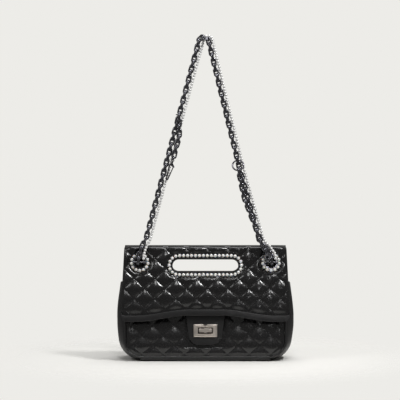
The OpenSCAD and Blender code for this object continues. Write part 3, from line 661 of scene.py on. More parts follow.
@dataclass(frozen=True)
class MetalFinish(Finish):
    """A plated zinc casting. The plating gives the colour and the polish under it the gloss."""

    colour: str
    roughness: float
    brushed: float = 0.0

    def shade(self, graph: Graph, place: Socket) -> dict[str, object]:
        """Draws faint handling marks and an optional brushed grain."""
        marks = graph.cloud(place, 180.0, detail=5.0)
        stretched = graph.node("Mapping", {"Vector": place, "Scale": (60.0, 60.0, 4000.0)})
        lines = graph.cloud(stretched.outputs[0], 1.0, detail=2.0)
        return {
            "Base Color": linear(self.colour),
            "Metallic": 1.0,
            "Roughness": graph.gloss(marks, self.roughness, 0.05, 0.08),
            "Normal": graph.bump(0.1 + self.brushed, 0.05 * MM, lines),
        }


@dataclass(frozen=True)
class PearlFinish(Finish):
    """A moulded bead with a pearl coat: milky white, with a soft warm depth and a clear gloss."""

    colour: str = "#fffefb"
    shade_colour: str = "#f8f5f0"
    lustre: float = 0.1
    depth: float = 0.6
    glow_mm: float = 2.0

    def shade(self, graph: Graph, place: Socket) -> dict[str, object]:
        """Draws a tint that is a little warmer from bead to bead."""
        cloud = graph.cloud(place, 260.0, detail=2.0)
        return {
            "Base Color": graph.tint(cloud, self.colour, self.shade_colour),
            "Metallic": self.lustre,
            "Roughness": 0.3,
            "IOR": 1.53,
            "Subsurface Weight": self.depth,
            "Subsurface Radius": (1.0, 0.9, 0.8),
            "Subsurface Scale": self.glow_mm * MM,
            "Coat Weight": 0.6,
            "Coat Roughness": 0.08,
        }


@dataclass(frozen=True)
class ClothFinish(Finish):
    """A woven cloth or thread, with its weave drawn as crossed fine waves."""

    colour: str
    light: str
    thread_mm: float = 0.5

    def shade(self, graph: Graph, place: Socket) -> dict[str, object]:
        """Draws the weave."""
        inputs = {"Vector": place, "Scale": 0.5 / (self.thread_mm * MM)}
        threads = (graph.node("TexWave", inputs, bands_direction=way) for way in "XZ")
        weave = graph.math("MULTIPLY", *(thread.outputs["Fac"] for thread in threads))
        return {
            "Base Color": graph.tint(weave, self.colour, self.light),
            "Roughness": 0.85,
            "Sheen Weight": 0.3,
            "Normal": graph.bump(0.4, 0.2 * MM, weave),
        }


class Finishes:
    """Every material of the bag, built once."""

    def __init__(self) -> None:
        """Builds the materials by slot, and those that differ from their slot's."""
        recipes = {
            Slot.QUILT: LeatherFinish("quilted_lambskin", stitched=True),
            Slot.PLAIN: LeatherFinish("plain_lambskin", roughness=0.42, coat=0.05),
            Slot.PIPING: LeatherFinish("piping_lambskin", roughness=0.3, wrinkle_mm=4.0),
            Slot.LINING: ClothFinish("grosgrain_lining", "#1d191b", "#2b2628"),
            Slot.BOARD: ClothFinish("grey_board", "#8a7f6c", "#9c9180", 1.2),
            Slot.LOCK: MetalFinish("satin_nickel", "#e4dad1", 0.34, 0.2),
            Slot.CHAIN: MetalFinish("gunmetal_plate", "#727277", 0.24),
            Slot.FITTING: MetalFinish("gunmetal_fittings", "#66656a", 0.22),
            Slot.PEARL: PearlFinish("coated_pearl"),
            Slot.THREAD: ClothFinish("beading_thread", "#d6d1c8", "#e6e1d8", 0.3),
            Slot.SPRING: MetalFinish("spring_wire", "#8b8b90", 0.3),
        }
        self.by_slot = {slot: recipe.build() for slot, recipe in recipes.items()}
        self.seam_thread = ClothFinish("black_thread", "#141314", "#232123", 0.25).build()
        # A darker nickel for lock_base: painted shade, standing in for the shadow inside the lock's
        # window behind the turn bar.
        self.painted_shade_recess = MetalFinish("painted_shade_nickel", "#2e2b29", 0.5).build()
        milk = PearlFinish("milk_glass_bead", "#ffffff", "#fdfcfa", 0.0, 0.0, 1.0)
        self.milk_glass = milk.build()


def dress(obj: Object, finish: Material) -> None:
    """Gives an object one material in place of any others."""
    obj.data.materials.clear()
    obj.data.materials.append(finish)


# ---------------- quilting


@dataclass(frozen=True)
class Quilting:
    """Diamond quilting: two families of slanting seams with a soft puff in each cell."""

    origin_x: float = 2.55
    origin_y: float = 3.6
    width: float = 31.0
    height: float = 30.2
    rise: float = 3.4
    sharpness: float = 0.5
    pucker: float = 0.3
    pucker_scale: float = 0.33
    pucker_start: float = 18.0
    pucker_fall: float = 9.0
    crease: float = 0.12
    crease_scale: float = 0.12

    def puff(self, x: float, y: float) -> float:
        """Height of the padding over the seams at a flat place.

        Args:
            x: Across, in millimetres.
            y: Along, in millimetres.

        Returns:
            The height in millimetres.
        """
        u, v = (x - self.origin_x) / self.width, (y - self.origin_y) / self.height
        first, second = (u + v) % 1.0, (u - v) % 1.0
        dome = (sin(pi * first) * sin(pi * second)) ** self.sharpness
        edge = min(first, 1 - first, second, 1 - second)
        gather = waves(self.pucker, x * self.pucker_scale, y * self.pucker_scale, 1.7)
        gather *= exp(-edge * self.pucker_fall) * min(1.0, edge * self.pucker_start)
        uneven = 1 + waves(self.crease, x * self.crease_scale, y * self.crease_scale, 5.1)
        return self.rise * dome * uneven + gather


QUILT = Quilting()
BODY_QUILT = Quilting(origin_x=1.0, origin_y=8.0, width=32.0, height=30.5, rise=2.0, sharpness=0.7)


# ---------------- pieces


@dataclass
class Workshop:
    """The finishes, and the ways to make a piece and hang it on its body."""

    finishes: Finishes
    sharp_angle: float = 35.0
    flat_angle: float = 0.5
    long_edge: float = 6.0
    ruffle_scale: float = 70.0
    stitch_half: tuple[float, float, float] = (0.28, 1.1, 0.28)

    def fit(
        self,
        obj: Object,
        body: Body,
        slot: Slot,
        replaces: Sequence[str] = (),
        finish: Material | None = None,
    ) -> None:
        """Dresses a piece, hangs it on its body and hides the nodes that it stands for.

        Args:
            obj: The finished piece.
            body: The body that it rides on.
            slot: Its slot.
            replaces: The nodes that it stands for.
            finish: Its material, where it isn't the slot's.
        """
        dress(obj, finish or self.finishes.by_slot[slot])
        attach(obj, body.value)
        if replaces:
            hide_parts(*replaces)
        LOG.info("%s: %d faces on %s", obj.name, len(obj.data.polygons), body.value)

    def sheet(
        self, name: str, mesh: BMesh, lay: Lay, wall: float, outward: Sequence[float] | None = None
    ) -> Object:
        """Lays a flat grid in its place and gives it its wall.

        Args:
            name: The piece's name.
            mesh: The flat grid.
            lay: Turns flat coordinates into a place in metres.
            wall: The wall in millimetres, behind the laid face.
            outward: The direction that the laid face looks, where it has to be set.

        Returns:
            The sheet.
        """
        for vert in mesh.verts:
            vert.co = lay(vert.co.x, vert.co.y)
        bmesh.ops.recalc_face_normals(mesh, faces=mesh.faces)
        if outward and sum(f.normal.dot(outward) * f.calc_area() for f in mesh.faces) < 0:
            bmesh.ops.reverse_faces(mesh, faces=mesh.faces)
        return thicken(mesh_object(name, mesh), wall)

    def soften(
        self,
        node: str,
        name: str,
        body: Body,
        slot: Slot,
        bevel: float,
        cuts: int = 0,
        ruffle: float = 0.0,
    ) -> None:
        """Puts a soft-edged copy of a node in its place.

        Args:
            node: The node.
            name: The new piece's name.
            body: The body that it rides on.
            slot: Its slot.
            bevel: Width of the rounded edges, in millimetres.
            cuts: How often its long edges are divided.
            ruffle: Height of the leather's unevenness, in millimetres.
        """
        mesh = node_mesh(node)
        bmesh.ops.dissolve_limit(
            mesh, angle_limit=radians(self.flat_angle), verts=mesh.verts, edges=mesh.edges
        )
        least = radians(self.sharp_angle)
        sharp = [e for e in mesh.edges if e.is_manifold and e.calc_face_angle(0.0) > least]
        round_edges(mesh, sharp, bevel)
        bmesh.ops.triangulate(mesh, faces=[f for f in mesh.faces if len(f.verts) > 4])
        for _ in range(cuts):
            long = [e for e in mesh.edges if e.calc_length() > self.long_edge * MM]
            bmesh.ops.subdivide_edges(mesh, edges=long, cuts=1, use_grid_fill=True)
        if ruffle:
            mesh.normal_update()
            for vert in mesh.verts:
                vert.co += vert.normal * noise.noise(vert.co * self.ruffle_scale) * ruffle * MM
        self.fit(mesh_object(name, mesh), body, slot, [node])

    def stitch_row(self, name: str, places: Sequence[Stitch], body: Body) -> None:
        """Lays a row of short stitches on a surface, as one piece.

        Args:
            name: The row's name.
            places: For each stitch its middle, its direction and the surface's normal.
            body: The body that it rides on.
        """
        mesh = bmesh.new()
        scale = Matrix.Diagonal((*(half * MM for half in self.stitch_half), 1.0))
        for middle, along, out in places:
            side = along.cross(out).normalized()
            turn = Matrix((side, along.normalized(), out.normalized())).transposed().to_4x4()
            bmesh.ops.create_icosphere(
                mesh, subdivisions=1, radius=1.0, matrix=Matrix.Translation(middle) @ turn @ scale
            )
        self.fit(mesh_object(name, mesh), body, Slot.PIPING, finish=self.finishes.seam_thread)


def round_edges(mesh: BMesh, edges: Sequence[bmesh.types.BMEdge], width: float) -> None:
    """Rounds edges with a bevel of three faces, its width in millimetres."""
    bmesh.ops.bevel(
        mesh,
        geom=edges,
        offset=width * MM,
        offset_type="OFFSET",
        segments=3,
        profile=0.5,
        affect="EDGES",
        material=-1,
        clamp_overlap=True,
    )


@dataclass
class FlapLeather:
    """The flap: quilted shell over the fold, hem, slot edging, lining, tongue and tabs."""

    shop: Workshop
    cell: float = 1.0
    wall: float = 2.4
    edge_round: float = 3.0
    round_share: float = 0.3
    sink: float = 0.35
    clear: float = 0.3
    fade: float = 5.0
    slot_fade: float = 8.5
    eyelet_run: float = 0.002
    hem_fade: float = 10.0
    hem_tuck: float = 1.0
    top_keep: float = 0.2
    top_run: float = 6.0
    low_rise: float = 0.4
    low_start: float = 0.4
    corner_drop: float = 2.2
    corner_run: float = 10.0
    belly: float = 2.0
    belly_run: float = 110.0
    facing_wall: float = 0.8
    facing_tuck: float = 4.0
    hem_wall: float = 3.6
    hem_sink: float = 0.35
    hem_crown: float = 0.45
    stitch_step: float = 3.4
    stitch_ends: float = 22.0
    upper_row: float = 6.6
    lower_row: float = 2.0
    roll_r: float = 1.95

    def build(self) -> None:
        """Builds every leather piece of the flap."""
        bindings, ring = 2 * SHAPE.slot_binding, 2 * SHAPE.eyelet_tube_r
        middle, wide = SHAPE.slope(SHAPE.slot_z), SHAPE.slot_w + bindings
        slot = Stadium(0, middle, wide, SHAPE.slot_h + bindings)
        drop = SHAPE.slope(SHAPE.eyelet_z)
        wide = ring + self.eyelet_run
        holes = [slot] + [Stadium(side * SHAPE.eyelet_x, drop, wide, ring) for side in (-1, 1)]
        self._shell(holes)
        self._lining(holes)
        self._hem()
        self._hem_stitches()
        self._fold_roll()
        self.shop.soften("flap_slot_binding", "slot_edging", Body.FLAP, Slot.PLAIN, 1.0)
        self.shop.soften("tongue", "lock_tongue", Body.FLAP, Slot.PLAIN, 0.9, cuts=2, ruffle=0.2)
        for side in ("left", "right"):
            self.shop.soften(f"{side}_anchor_tab", f"{side}_tab", Body.FLAP, Slot.PLAIN, 0.3)

    def _place(self, across: float, along: float) -> Pair:
        """Flat coordinates of a share across and along the quilted sheet."""
        x = (2 * across - 1) * SHAPE.flap_half(SHAPE.path_start + along * SHAPE.path_run)
        end = SHAPE.edge_path(x) - SHAPE.hem_w + self.hem_tuck
        return x, SHAPE.path_start + along * (end - SHAPE.path_start)

    def _mask(self, x: float, path: float) -> float:
        """Fades the quilting out towards the slot, the eyelets and the edges.

        Args:
            x: Across, from the middle.
            path: Along the flap.

        Returns:
            The share of its height that the quilting keeps there.
        """
        ring = Stadium(0, SHAPE.slope(SHAPE.slot_z), SHAPE.slot_ring_w, SHAPE.slot_ring_h)
        eyelet = hypot(abs(x) - SHAPE.eyelet_x, path - SHAPE.slope(SHAPE.eyelet_z))
        near = min(
            (ring.nearest(x, path)[0] - self.clear) / self.slot_fade,
            (eyelet - SHAPE.eyelet_ring_r - self.clear) / self.slot_fade,
            (SHAPE.edge_path(x) - SHAPE.hem_w - path) / self.hem_fade,
        )
        side = SHAPE.flap_half(path) - abs(x)
        back = path - SHAPE.path_start
        return (
            smooth_step(near)
            * smooth_step(side / self.fade)
            * smooth_step(back / (2 * self.fade))
            * (self.top_keep + (1 - self.top_keep) * smooth_step((path + 1) / self.top_run))
        )

    def _shell(self, holes: Sequence[Stadium]) -> None:
        """Builds the quilted shell with its fold, slot and eyelet holes.

        Args:
            holes: The slot and the eyelets, in flat coordinates.
        """

        def lay(x: float, path: float) -> Vector:
            """Puffs a place up, rounds its side edge and wears the top corners down."""
            mask = self._mask(x, path)
            side = SHAPE.flap_half(path) - abs(x)
            close = 1 - share_of(side / self.edge_round)
            round_off = self.round_share * self.edge_round * (1 - sqrt(1 - close**2))
            down = share_of((path - SHAPE.fold_start) / self.belly_run)
            belly = self.belly * mask * sin(pi * down) ** 1.5
            worn = self.corner_drop * smooth_step(1 - side / self.corner_run)
            worn *= smooth_step((self.corner_run - path) / self.corner_run)
            fall = 1 - self.low_rise * smooth_step((down - self.low_start) / (1 - self.low_start))
            lift = QUILT.puff(x, path) * mask * fall - self.sink * mask + belly
            return SHAPE.on_flap(x, path, round_off + worn - lift)

        cols, rows = round(SHAPE.flap_edge_w / self.cell), round(SHAPE.path_run / self.cell)
        mesh = mapped_grid(cols, rows, self._place, holes)
        shell = self.shop.sheet("flap_quilting", mesh, lay, self.wall, (0, -1, 1))
        self.shop.fit(shell, Body.FLAP, Slot.QUILT, ["flap_shell"])

    def _lining(self, holes: Sequence[Stadium]) -> None:
        """Builds the smooth leather lining under the shell.

        Args:
            holes: The slot and the eyelets, in flat coordinates.
        """

        def lay(x: float, path: float) -> Vector:
            """Puts a place behind the shell."""
            depth = SHAPE.flap_t + waves(0.15, x * 0.05, path * 0.05, 9.0)
            return SHAPE.on_flap(x * 0.995, max(path, SHAPE.path_start + self.facing_tuck), depth)

        mesh = mapped_grid(84, 46, self._place, holes)
        lining = self.shop.sheet("flap_facing", mesh, lay, self.facing_wall)
        self.shop.fit(lining, Body.FLAP, Slot.PLAIN, ["flap_lining"])

    def _hem(self) -> None:
        """Builds the plain hem, a padded band with round lower corners."""
        half, radius = SHAPE.flap_edge_w / 2, SHAPE.flap_corner_r

        def place(across: float, along: float) -> Pair:
            """Flat coordinates on the band."""
            x = (2 * across - 1) * half
            into = max(0.0, radius - (half - abs(x)))
            end = SHAPE.edge_path(x) - radius + sqrt(max(0.0, radius**2 - into**2))
            return x, end - SHAPE.hem_w * (1 - along)

        def lay(x: float, path: float) -> Vector:
            """Crowns the band between its edges."""
            share = share_of((SHAPE.edge_path(x) - path) / SHAPE.hem_w)
            crown = self.hem_crown * sqrt(max(0.0, sin(pi * (0.04 + 0.92 * share))))
            crown *= smooth_step((half - abs(x)) / 3)
            uneven = waves(0.25, x * 0.06, path * 0.1, 3.0)
            return SHAPE.on_front(x, self.hem_sink - crown - uneven, path)

        band = self.shop.sheet("flap_hem_band", mapped_grid(168, 12, place), lay, self.hem_wall)
        self.shop.fit(band, Body.FLAP, Slot.PLAIN, ["flap_hem"])

    def _hem_stitches(self) -> None:
        """Sews the hem with a row of stitches at each of its edges."""
        out = SHAPE.on_front(0, -1, 0) - SHAPE.on_front(0, 0, 0)
        count = int((SHAPE.flap_edge_w - self.stitch_ends) / self.stitch_step)
        for name, up in (("upper", self.upper_row), ("lower", self.lower_row)):
            places = []
            for i in range(count):
                x = (i - (count - 1) / 2) * self.stitch_step
                path = SHAPE.edge_path(x) - up
                ahead = SHAPE.on_front(x + 1, 0, SHAPE.edge_path(x + 1) - up)
                along = ahead - SHAPE.on_front(x, 0, path)
                places.append((SHAPE.on_front(x, -0.3, path), along, out))
            self.shop.stitch_row(f"hem_stitches_{name}", places, Body.FLAP)

    def _fold_roll(self) -> None:
        """Builds the turned leather edge along the flap's hinge line."""
        mesh = bmesh.new()
        middle = Matrix.Translation((0, SHAPE.hinge_y * MM, SHAPE.hinge_z * MM))
        bmesh.ops.create_cone(
            mesh,
            cap_ends=True,
            segments=24,
            radius1=self.roll_r * MM,
            radius2=self.roll_r * MM,
            depth=(SHAPE.flap_w - 1.0) * MM,
            matrix=middle @ Matrix.Rotation(pi / 2, 4, "Y"),
        )
        round_edges(mesh, [e for e in mesh.edges if e.calc_face_angle(0.0) > 1.0], 0.8)
        self.shop.fit(mesh_object("fold_edge_roll", mesh), Body.FLAP, Slot.PIPING)


@dataclass
class BodyLeather:
    """The bag's body: quilted front and back, gussets, piping, base, bindings and lining."""

    shop: Workshop
    cell: float = 1.1
    wall: float = 2.6
    fade: float = 7.0
    sink: float = 0.4
    band_lap: float = 20.0
    tongue_half: float = 27.0
    tongue_fade: float = 9.0
    tongue_foot: float = 20.0
    foot_fade: float = 8.0
    foot_clear: float = 18.0
    tongue_keep: float = 0.3
    plate_half_w: float = 13.0
    plate_half_h: float = 6.0
    plate_fade: float = 6.0
    front_belly: float = 1.4
    front_belly_h: float = 62.0
    back_belly: float = 2.0
    back_belly_h: float = 120.0
    facing_lap: float = 12.0
    facing_wall: float = 0.8
    hinge_room: float = 4.4
    seam_lift: float = 5.0
    seam_reach: float = 40.0
    seam_gap: float = 0.05
    base_roll: float = 3.0
    base_share: float = 0.16
    base_wall: float = 2.0
    gusset_wall: float = 2.2
    gusset_start: float = 0.13
    gusset_crease: float = 2.6
    gusset_map: Pair = (80.0, 130.0)
    piping_steps: int = 48

    def build(self) -> None:
        """Builds every soft piece of the body."""
        self._front()
        self._back()
        self._back_facing()
        for side, word in ((-1, "left"), (1, "right")):
            self._gusset(side, word)
        middle = SHAPE.panel_in - SHAPE.panel_t / 2
        self._piping("front", lambda z: SHAPE.front_y_at(z, middle))
        self._piping("back", SHAPE.back_y_at)
        self._base()
        for node, name, slot, *softness in (
            ("mouth_binding", "mouth_edging", Slot.PLAIN, 1.2, 3, 0.2),
            ("back_slot_binding", "back_slot_edging", Slot.PLAIN, 1.0),
            ("lining", "inner_lining", Slot.LINING, 0.2, 4, 0.25),
        ):
            self.shop.soften(node, name, Body.BAG, slot, *softness)

    def _raised(self, z: float) -> float:
        """Height of a seam place, drawn up where the base rolls round to it."""
        return z + self.seam_lift * max(0.0, 1 - z / self.seam_reach) ** 2

    def _panel(self, top: float, holes: Sequence[Stadium] = ()) -> BMesh:
        """Makes a flat grid in a panel's outline, from the base seam up.

        Args:
            top: The height of its top.
            holes: The outlines to cut.

        Returns:
            The grid.
        """
        inset = SHAPE.panel_inset

        def place(across: float, along: float) -> Pair:
            """Flat coordinates inside the outline."""
            z = inset + 0.001 + along * (top - inset)
            return (2 * across - 1) * SHAPE.inner_half_width(z, inset), z

        return mapped_grid(round(SHAPE.body_w / self.cell), round(top / self.cell), place, holes)

    @staticmethod
    def _edge(x: float, z: float, top: float) -> float:
        """Measures how far inside its panel a place lies.

        Args:
            x: Across, from the middle.
            z: The height.
            top: The panel's top.

        Returns:
            The distance to the outline.
        """
        inset, corner = SHAPE.panel_inset, SHAPE.corner_r
        if abs(x) > SHAPE.core and z < corner:
            return corner - inset - hypot(abs(x) - SHAPE.core, corner - z)
        side = SHAPE.inner_half_width(max(z, corner), inset) - abs(x)
        return min(side, z - inset, top - z)

    @staticmethod
    def _back_hole(bindings: int) -> Stadium:
        """The back panel's slot, wider by one or more widths of its binding."""
        extra = SHAPE.back_slot_extra + bindings * SHAPE.slot_binding
        middle = SHAPE.slot_z - SHAPE.back_slot_drop
        return Stadium(0, middle, SHAPE.slot_w + extra, SHAPE.slot_h + extra)

    def _front(self) -> None:
        """Builds the quilted front panel, lower where the tongue and lock lie over it."""
        top = SHAPE.mouth_z - SHAPE.mouth_band

        def lay(x: float, z: float) -> Vector:
            """Puffs a place up, less under the tongue and not under the lock."""
            mask = smooth_step(self._edge(x, z, top + self.band_lap) / self.fade)
            beside = smooth_step((abs(x) - self.tongue_half) / self.tongue_fade)
            below = smooth_step((self.tongue_foot - z) / self.foot_fade)
            free = max(beside, below) if z > self.foot_clear else 1.0
            keep = self.tongue_keep + (1 - self.tongue_keep) * free
            plate = max(abs(x) - self.plate_half_w, abs(z - SHAPE.lock_z) - self.plate_half_h)
            belly = self.front_belly * mask * sin(pi * min(1.0, z / self.front_belly_h)) * keep
            lift = (BODY_QUILT.puff(x, z) * mask + belly) * keep
            lift *= smooth_step(plate / self.plate_fade)
            high = self._raised(z)
            return metres(x, SHAPE.front_y_at(high, SHAPE.panel_out + self.sink - lift), high)

        panel = self.shop.sheet("front_quilting", self._panel(top), lay, self.wall, (0, -1, 0))
        self.shop.fit(panel, Body.BAG, Slot.QUILT, ["front_panel"])

    def _back(self) -> None:
        """Builds the quilted back panel with its slot."""
        top, hole = SHAPE.bag_h - self.hinge_room, self._back_hole(2)

        def lay(x: float, z: float) -> Vector:
            """Puffs a place up, away from the edges and the slot."""
            mask = smooth_step(self._edge(x, z, top) / self.fade)
            mask *= smooth_step((hole.nearest(x, z)[0] - 1) / self.fade)
            belly = self.back_belly * mask * sin(pi * min(1.0, z / self.back_belly_h))
            out = SHAPE.panel_t / 2 - self.sink + BODY_QUILT.puff(x, z) * mask + belly
            high = self._raised(z)
            return metres(x, SHAPE.back_y_at(high, out), high)

        mesh = self._panel(top, [hole])
        panel = self.shop.sheet("back_quilting", mesh, lay, self.wall, (0, 1, 0))
        self.shop.fit(panel, Body.BAG, Slot.QUILT, ["back_panel"])

    def _back_facing(self) -> None:
        """Builds the smooth facing inside the back panel, which shows when the flap is open."""
        low, top = SHAPE.mouth_z - self.facing_lap, SHAPE.bag_h - self.hinge_room

        def place(across: float, along: float) -> Pair:
            """Flat coordinates between the mouth and the top."""
            z = low + along * (top - low)
            return (2 * across - 1) * (SHAPE.half_width(z) - SHAPE.panel_inset - 0.4), z

        def lay(x: float, z: float) -> Vector:
            """Puts a place on the panel's inner side."""
            out = waves(0.12, x * 0.05, z * 0.05, 7.0) - SHAPE.panel_t / 2
            return metres(x, SHAPE.back_y_at(z, out), z)

        mesh = mapped_grid(120, 32, place, [self._back_hole(1)])
        facing = self.shop.sheet("back_facing", mesh, lay, self.facing_wall, (0, -1, 0))
        self.shop.fit(facing, Body.BAG, Slot.PLAIN)

    def _base(self) -> None:
        """Builds the base, flat where it stands and rolled up to the seams in front and behind."""
        reach = SHAPE.core + 3
        top = self._raised(SHAPE.panel_inset)
        front, back = SHAPE.front_y_at(top, SHAPE.panel_in - 1.5), SHAPE.back_y_at(top, 0.5)

        def lay(x: float, share: float) -> Vector:
            """Rolls a place up at the ends of its run from front to back."""
            end = min(share, 1 - share) / self.base_share
            z = 0.25 + waves(0.25, x * 0.04, share * 5, 2.0)
            if end < 1:
                inward = top * (1 - cos(end * pi / 2)) - self.base_roll * sin(pi * end)
                y = front + inward if share < 0.5 else back - inward
                z = max(top * (1 - sin(end * pi / 2)), z)
            else:
                run = (share - self.base_share) / (1 - 2 * self.base_share)
                y = front + top + (back - front - 2 * top) * run
            return metres(x, y, z)

        mesh = flat_grid(120, 60, lambda across, along: ((2 * across - 1) * reach, along))
        base = self.shop.sheet("base_leather", mesh, lay, self.base_wall, (0, 0, -1))
        self.shop.fit(base, Body.BAG, Slot.PLAIN, ["base_panel"])

    @staticmethod
    def _seam(share: float, inset: float = 0.0) -> Pair:
        """A place on the seam line, from the mouth corner down and round to the flat base.

        Args:
            share: 0 at the mouth and 1 at the base.
            inset: How far the line is moved in.

        Returns:
            The half width and the height.
        """
        straight = SHAPE.mouth_z - SHAPE.corner_r
        run = share * (straight + pi / 2 * SHAPE.corner_r)
        if run <= straight:
            z = SHAPE.mouth_z - run
            return SHAPE.half_width(z) - inset, z
        angle, radius = (run - straight) / SHAPE.corner_r, SHAPE.corner_r - inset
        return SHAPE.core + radius * cos(angle), SHAPE.corner_r - radius * sin(angle)

    def _gusset(self, side: int, word: str) -> None:
        """Builds one side gusset: a full, soft skin with a shallow fold down its middle.

        Args:
            side: -1 for the left and 1 for the right.
            word: The side's name.
        """
        wide, high = self.gusset_map

        def place(across: float, along: float) -> Pair:
            """Flat coordinates about the skin's middle."""
            return (across - 0.5) * wide, (along - 0.5) * high

        def lay(x: float, y: float) -> Vector:
            """Bulges a place out from the seam line."""
            v, t = x / wide + 0.5, share_of(0.5 - y / high)
            half, z = self._seam(t)
            ahead, behind = self._seam(min(1.0, t + 0.01)), self._seam(max(0.0, t - 0.01))
            run = Vector((ahead[0] - behind[0], ahead[1] - behind[1])).normalized()
            start = self.gusset_start
            rise = sin(pi * (start + (1 - start) * t)) ** 1.4 if t < 1 else 0.0
            dome = 1 - (2 * v - 1) ** 2
            crease = self.gusset_crease * exp(-(((v - 0.5) / 0.1) ** 2))
            crease *= 1 - smooth_step(t / 0.6)
            uneven = waves(0.7, v * 3.1, t * 5.3, side * 4.0) * dome
            bulge = SHAPE.gusset_bulge * rise * dome - crease + uneven
            front = SHAPE.front_y_at(z, SHAPE.panel_in) + self.seam_gap
            back = SHAPE.back_y_at(z, -SHAPE.panel_t / 2) - self.seam_gap
            up = z + run.x * bulge + (self._raised(z) - z) * (2 * v - 1) ** 4
            out = half - run.y * bulge
            return metres(side * out, front + (back - front) * v, max(up, 0.05))

        mesh = mapped_grid(36, 64, place)
        skin = self.shop.sheet(f"{word}_gusset_leather", mesh, lay, self.gusset_wall, (side, 0, 0))
        self.shop.fit(skin, Body.BAG, Slot.PLAIN, [f"{word}_gusset"])

    def _piping(self, word: str, y_at: Callable[[float], float]) -> None:
        """Builds one seam's piping as a round cord of leather.

        Args:
            word: "front" or "back".
            y_at: Turns a height into the seam's y.
        """
        inset = SHAPE.piping_inset
        right = [self._seam(i / self.piping_steps, inset) for i in range(self.piping_steps + 1)]
        outline = [(-x, z) for x, z in right] + [(0.0, inset)] + right[::-1]
        curve = bpy.data.curves.new(f"{word}_piping_cord", "CURVE")
        curve.dimensions = "3D"
        curve.bevel_depth = SHAPE.piping_d / 2 * MM
        curve.bevel_resolution = 4
        curve.use_fill_caps = True
        spline = curve.splines.new("POLY")
        spline.points.add(len(outline) - 1)
        for point, (x, z) in zip(spline.points, outline):
            high = self._raised(z)
            point.co = (x * MM, y_at(high) * MM, high * MM, 1.0)
        rough = link_object("piping_rough", curve)
        data = evaluated_mesh(rough)
        bpy.data.objects.remove(rough)
        cord = smooth_object(f"{word}_seam_piping", data)
        self.shop.fit(cord, Body.BAG, Slot.PIPING, [f"{word}_piping"])


@dataclass
class Hardware:
    """The CAD nodes in their finishes, with the strand, chains and lock worked further."""

    shop: Workshop
    frame: dict
    chain_swell: float = 0.15
    link_spread: float = 0.95
    link_stretch: float = 0.17
    ring_steps: int = 14
    wire_sides: int = 6
    bead_swell: float = 0.18
    bead_steps: int = 2
    chains: tuple[str, ...] = ("left", "top", "right", "tail", "double")

    def build(self) -> None:
        """Dresses the nodes by the slots of the record, then makes the finer pieces."""
        finishes = self.shop.finishes
        for part in self.frame["record"]["subparts"]:
            dress(self.frame["nodes"][part["node"]], finishes.by_slot[Slot(part["material_slot"])])
        # lock_base gets the darker nickel: painted shade for the shadow in the lock's window behind
        # the turn bar.
        dress(self.frame["nodes"]["lock_base"], finishes.painted_shade_recess)
        self._strand()
        for word in self.chains:
            self._plated(word)
        self.shop.soften("lock_front_plate", "lock_frame", Body.FLAP, Slot.LOCK, 0.35)
        self.shop.soften("turn_bar", "lock_turn_bar", Body.BAR, Slot.LOCK, 0.25)

    @staticmethod
    def _islands(mesh: BMesh) -> list[tuple[Vector, list[Vector]]]:
        """Finds the separate closed shapes of a mesh, and frees it.

        Args:
            mesh: The mesh.

        Returns:
            The middle of each shape, and the ways from it to the shape's vertices.
        """
        left, found = set(mesh.verts), []
        for seed in mesh.verts:
            if seed not in left:
                continue
            left.discard(seed)
            island, edge = [seed], [seed]
            while edge:
                near = [e.other_vert(v) for v in edge for e in v.link_edges]
                edge = [v for v in dict.fromkeys(near) if v in left]
                left.difference_update(edge)
                island += edge
            middle = sum((v.co for v in island), Vector()) / len(island)
            found.append((middle, [v.co - middle for v in island]))
        mesh.free()
        return found

    def _strand(self) -> None:
        """Makes the bead line beside the chain, its beads close up to each other."""
        mesh = bmesh.new()
        for middle, ways in self._islands(node_mesh("pearl_strand")):
            radius = max(way.length for way in ways) + self.bead_swell * MM
            bmesh.ops.create_icosphere(
                mesh, subdivisions=self.bead_steps, radius=radius, matrix=Matrix.Translation(middle)
            )
        line, milk_glass = mesh_object("bead_line", mesh), self.shop.finishes.milk_glass
        self.shop.fit(line, Body.STRAP, Slot.PEARL, ["pearl_strand"], milk_glass)

    def _add_ring(
        self, mesh: BMesh, middle: Vector, axes: Sequence[Vector], size: Sequence[float]
    ) -> None:
        """Adds a round wire bent to a link's oval.

        Args:
            mesh: Takes the ring.
            middle: The ring's middle.
            axes: Directions along the link, aside in its plane and through its plane.
            size: Half the link's length, width and thickness.
        """
        along, aside, through = axes
        long, wide, wire = (half + self.chain_swell * MM for half in size)
        rounds = []
        for step in range(self.ring_steps):
            turn = tau * (step + 0.5) / self.ring_steps
            out = along * sin(turn) + aside * cos(turn)
            spot = out * (wide - wire) + along * copysign(long - wide, sin(turn))
            spot += middle + along * spot.dot(along) * self.link_stretch
            angles = (tau * side / self.wire_sides for side in range(self.wire_sides))
            section = (out * cos(angle) + through * sin(angle) for angle in angles)
            rounds.append([mesh.verts.new(spot + way * wire) for way in section])
        for here, there in zip(rounds, rounds[1:] + rounds[:1]):
            for side in range(self.wire_sides):
                mesh.faces.new((here[side - 1], here[side], there[side], there[side - 1]))

    def _plated(self, word: str) -> None:
        """Makes a chain of paired links, two rings side by side for each link of the node.

        Args:
            word: The chain's name without its prefix.
        """
        mesh = bmesh.new()
        for middle, ways in self._islands(node_mesh(f"chain_{word}")):
            along = max(ways, key=lambda way: way.length).normalized()
            aside = max((way - along * way.dot(along) for way in ways), key=lambda way: way.length)
            axes = (along, aside.normalized(), along.cross(aside).normalized())
            size = [max(abs(way.dot(axis)) for way in ways) for axis in axes]
            for hand in (-1, 1):
                apart = axes[2] * (hand * self.link_spread * MM)
                self._add_ring(mesh, middle + apart, axes, size)
        bmesh.ops.recalc_face_normals(mesh, faces=mesh.faces)
        self.shop.fit(mesh_object(f"links_{word}", mesh), Body.STRAP, Slot.CHAIN, [f"chain_{word}"])


# ---------------- studio


